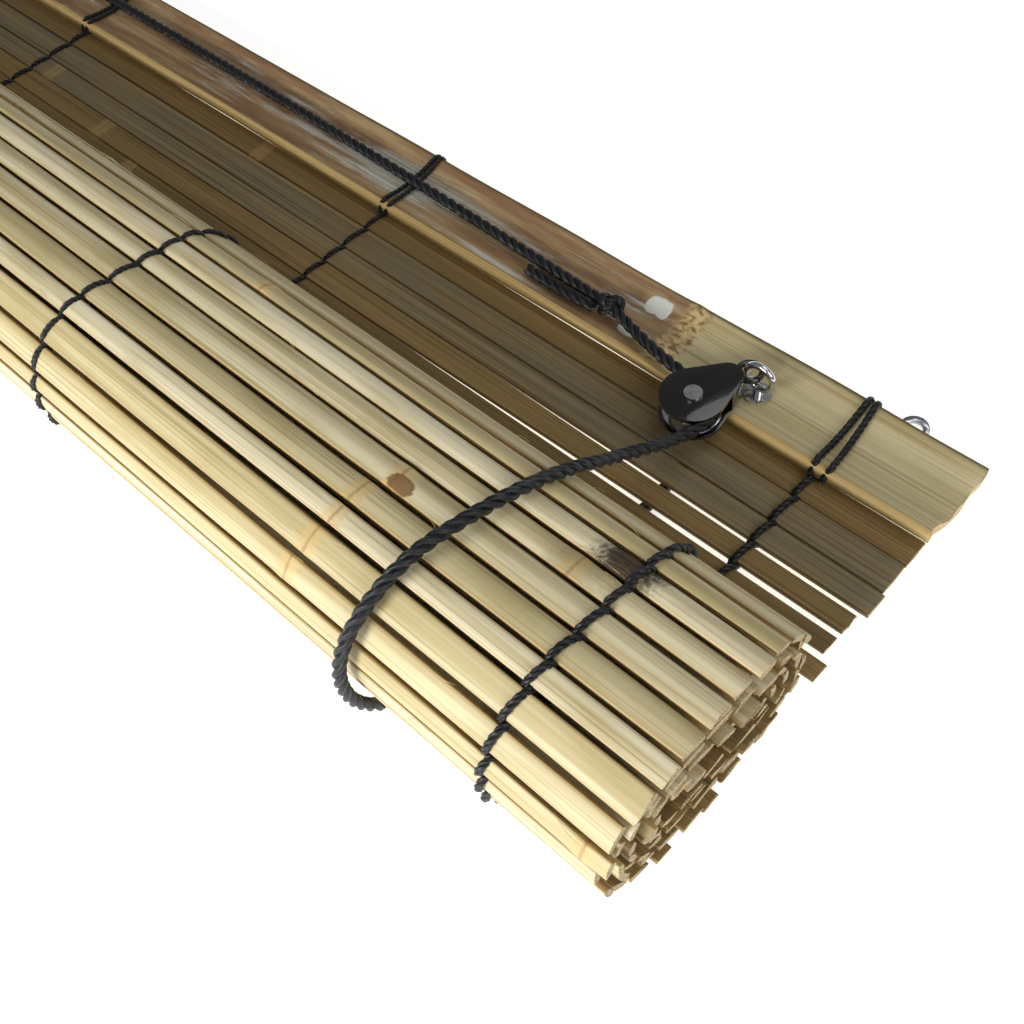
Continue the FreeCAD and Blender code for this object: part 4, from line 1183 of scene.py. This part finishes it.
def head_loop(row, near_shift, far_shift, thread):
    rise = thread * 0.55
    near, far = head_middle - HEAD_HALF, head_middle + HEAD_HALF
    edge_z = head_face((CULM_INNER + CULM_OUTER) / 2, 1.0)
    points = [(row + near_shift * 0.7, near - 0.7, edge_z - 2.0)]
    for share in (-0.96, -0.5, 0.0, 0.5, 0.96):
        shift = near_shift + (far_shift - near_shift) * (share + 1) / 2
        points.append((row + shift, head_middle + HEAD_HALF * share,
                       head_face(CULM_INNER, share) + rise + 0.15))
    points.append((row + far_shift, far + rise, edge_z + 0.8))
    points.append((row + far_shift, far + rise, edge_z - 0.8))
    for share in (0.96, 0.5, 0.0, -0.5, -0.96):
        points.append((row + far_shift * (share + 1) / 2, head_middle + HEAD_HALF * share,
                       head_face(CULM_OUTER, share) - rise - 0.1))
    points.append((row, near - 0.7, edge_z - 2.0))
    return points


for name, rows, thread, splay in (("head_stout_thread", WARP_X[-1:], STOUT, 4.6),
                                  ("head_thread", WARP_X[:-1], THIN, 3.2)):
    runs = [head_loop(row, shift, far, thread) for row in rows
            for shift, far in ((-0.3 * thread, -0.55 * thread), (splay, 0.55 * thread))]
    piece = twisted(name, spline_lines(name, runs), thread * MM, THREAD_FINISH, sides=6, step=0.8 * MM)
    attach(piece, "head")
    if rows[0] == WARP_X[-1]:
        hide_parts("head_stitches")

# %% [markdown]
# ## Rods, metal and lacquer
# The rods are grown by the slat tree with a round section. The hardware keeps its CAD shape. Where an edge
# shows, a copy gets a small bevel, and the bevel's faces take the worn finish.

# %% Rods
rod_bars = []
for number, part in enumerate(loose_parts(frame["nodes"]["bottom_rods"].data)):
    low, high = part.min(axis=0), part.max(axis=0)
    rod_bars.append({"middle": tuple((low + high) / 2), "turn": 0.4 * number, "long": high[0] - low[0],
                     "wide": high[1] - low[1], "thick": high[2] - low[2], "pinch": 0.0,
                     "number": 200 + number, "tone": 0.5, "knot_a": -0.1 + 0.3 * number, "knot_b": 0.24,
                     "parting": 0.0, **PLAIN})
rods = bars_mesh("cane_rods", rod_bars, CANE_FINISH, **{
    **FINE_BAR, "Edge Roundness": 1.0, "Face Roundness": 1.0, "Dome": 0.0, "Wander": 0.1 * MM,
    "Node Swell": 0.15 * MM, "Ragged": 0.5 * MM})
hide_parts("bottom_rods")
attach(rods, "roll_core")

# %% [markdown]
# A CAD mesh is loose triangles. Joining them and dissolving the flat ones leaves true edges to bevel.

# %% Bevelled copies
SAME_PLACE = 0.002 * MM
FLAT_BELOW = math.radians(4)
CREASE_ABOVE = math.radians(38)
BEVEL_ABOVE = math.radians(50)


def bevelled(node, width, finish, edge_finish):
    """A copy of a hard part with small bevels; the part itself is replaced by it."""
    mesh = bpy.data.meshes.new(node + "_looks")
    work = bmesh.new()
    work.from_mesh(frame["nodes"][node].data)
    bmesh.ops.remove_doubles(work, verts=work.verts, dist=SAME_PLACE)
    bmesh.ops.dissolve_limit(work, angle_limit=FLAT_BELOW, verts=work.verts, edges=work.edges)
    work.to_mesh(mesh)
    work.free()
    mesh.materials.clear()
    mesh.materials.append(finish)
    mesh.materials.append(edge_finish)
    source = shown(node + "_source", mesh)
    bevel = source.modifiers.new("bevel", "BEVEL")
    bevel.width = width
    bevel.segments = 2
    bevel.limit_method = "ANGLE"
    bevel.angle_limit = BEVEL_ABOVE
    bevel.material = 1
    evaluated = source.evaluated_get(bpy.context.evaluated_depsgraph_get())
    piece = shown(node + "_looks", bpy.data.meshes.new_from_object(evaluated))
    bpy.data.objects.remove(source)
    piece.data.shade_smooth()
    piece.data.set_sharp_from_angle(angle=CREASE_ABOVE)
    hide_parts(node)
    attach(piece, "head")
    print("%s: %d faces" % (piece.name, len(piece.data.polygons)))


for word in ("right", "left"):
    bevelled("pulley_case_" + word, 0.22 * MM, LACQUER, WORN_LACQUER)
    bevelled("hanger_" + word, 0.15 * MM, STRIP_STEEL, STRIP_STEEL)

METAL = {"pulley_rivet": ZINC, "screw_eye": ZINC, "eye_flange": ZINC, "back_washer": ZINC,
         "hanger_tacks": ZINC, "sheave": SHEAVE_STEEL}
for node_name, node_object in frame["nodes"].items():
    for start, finish in METAL.items():
        if node_name.startswith(start):
            mesh = node_object.data
            mesh.materials.clear()
            mesh.materials.append(finish)
            mesh.polygons.foreach_set("material_index", [0] * len(mesh.polygons))

# %% [markdown]
# ## Stray fibres
# Splitting bamboo leaves hair-thin fibres that curl off the slats' edges. Each one is a short bent line
# swept by the same tree as the cords, with one strand. A fixed seed keeps them where they are.

# %% Stray fibres
FIBRE_THICK = 0.22
FIBRES = {"core": 90, "wrap_5": 14, "wrap_4": 14, "wrap_3": 14, "wrap_2": 12}
OUTSIDE_SLATS = 12


def stray_fibre(bar):
    """Control points in millimetres of one fibre that springs from a slat's edge."""
    x = chance.uniform(-380, 392)
    edge = chance.choice((-1, 1)) * (bar["wide"] / MM / 2 - 0.2)
    length = chance.uniform(3, 11) * chance.choice((-1, 1))
    spring = chance.uniform(0.4, 1.5)
    lean = chance.uniform(-1.5, 1.5)
    _, y, z = (value / MM for value in bar["middle"])
    turn = bar["turn"]
    points = []
    for share, height in ((0.0, 0.0), (0.35, 0.8), (0.7, 1.0), (1.0, 0.75)):
        a = edge + lean * share
        n = bar["thick"] / MM / 2 + height * spring + 0.1
        points.append((x + length * share, y + a * math.cos(turn) - n * math.sin(turn),
                       z + a * math.sin(turn) + n * math.cos(turn)))
    return points


for part_name, count in FIBRES.items():
    outside = slats[part_name][:OUTSIDE_SLATS]
    runs = [stray_fibre(outside[chance.integers(len(outside))]) for _ in range(count)]
    fibres = twisted(part_name + "_fibres", spline_lines(part_name + "_fibres", runs), FIBRE_THICK * MM,
                     CANE_FINISH, strands=1, sides=4, step=0.7 * MM)
    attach(fibres, SHEET_BODIES[part_name])
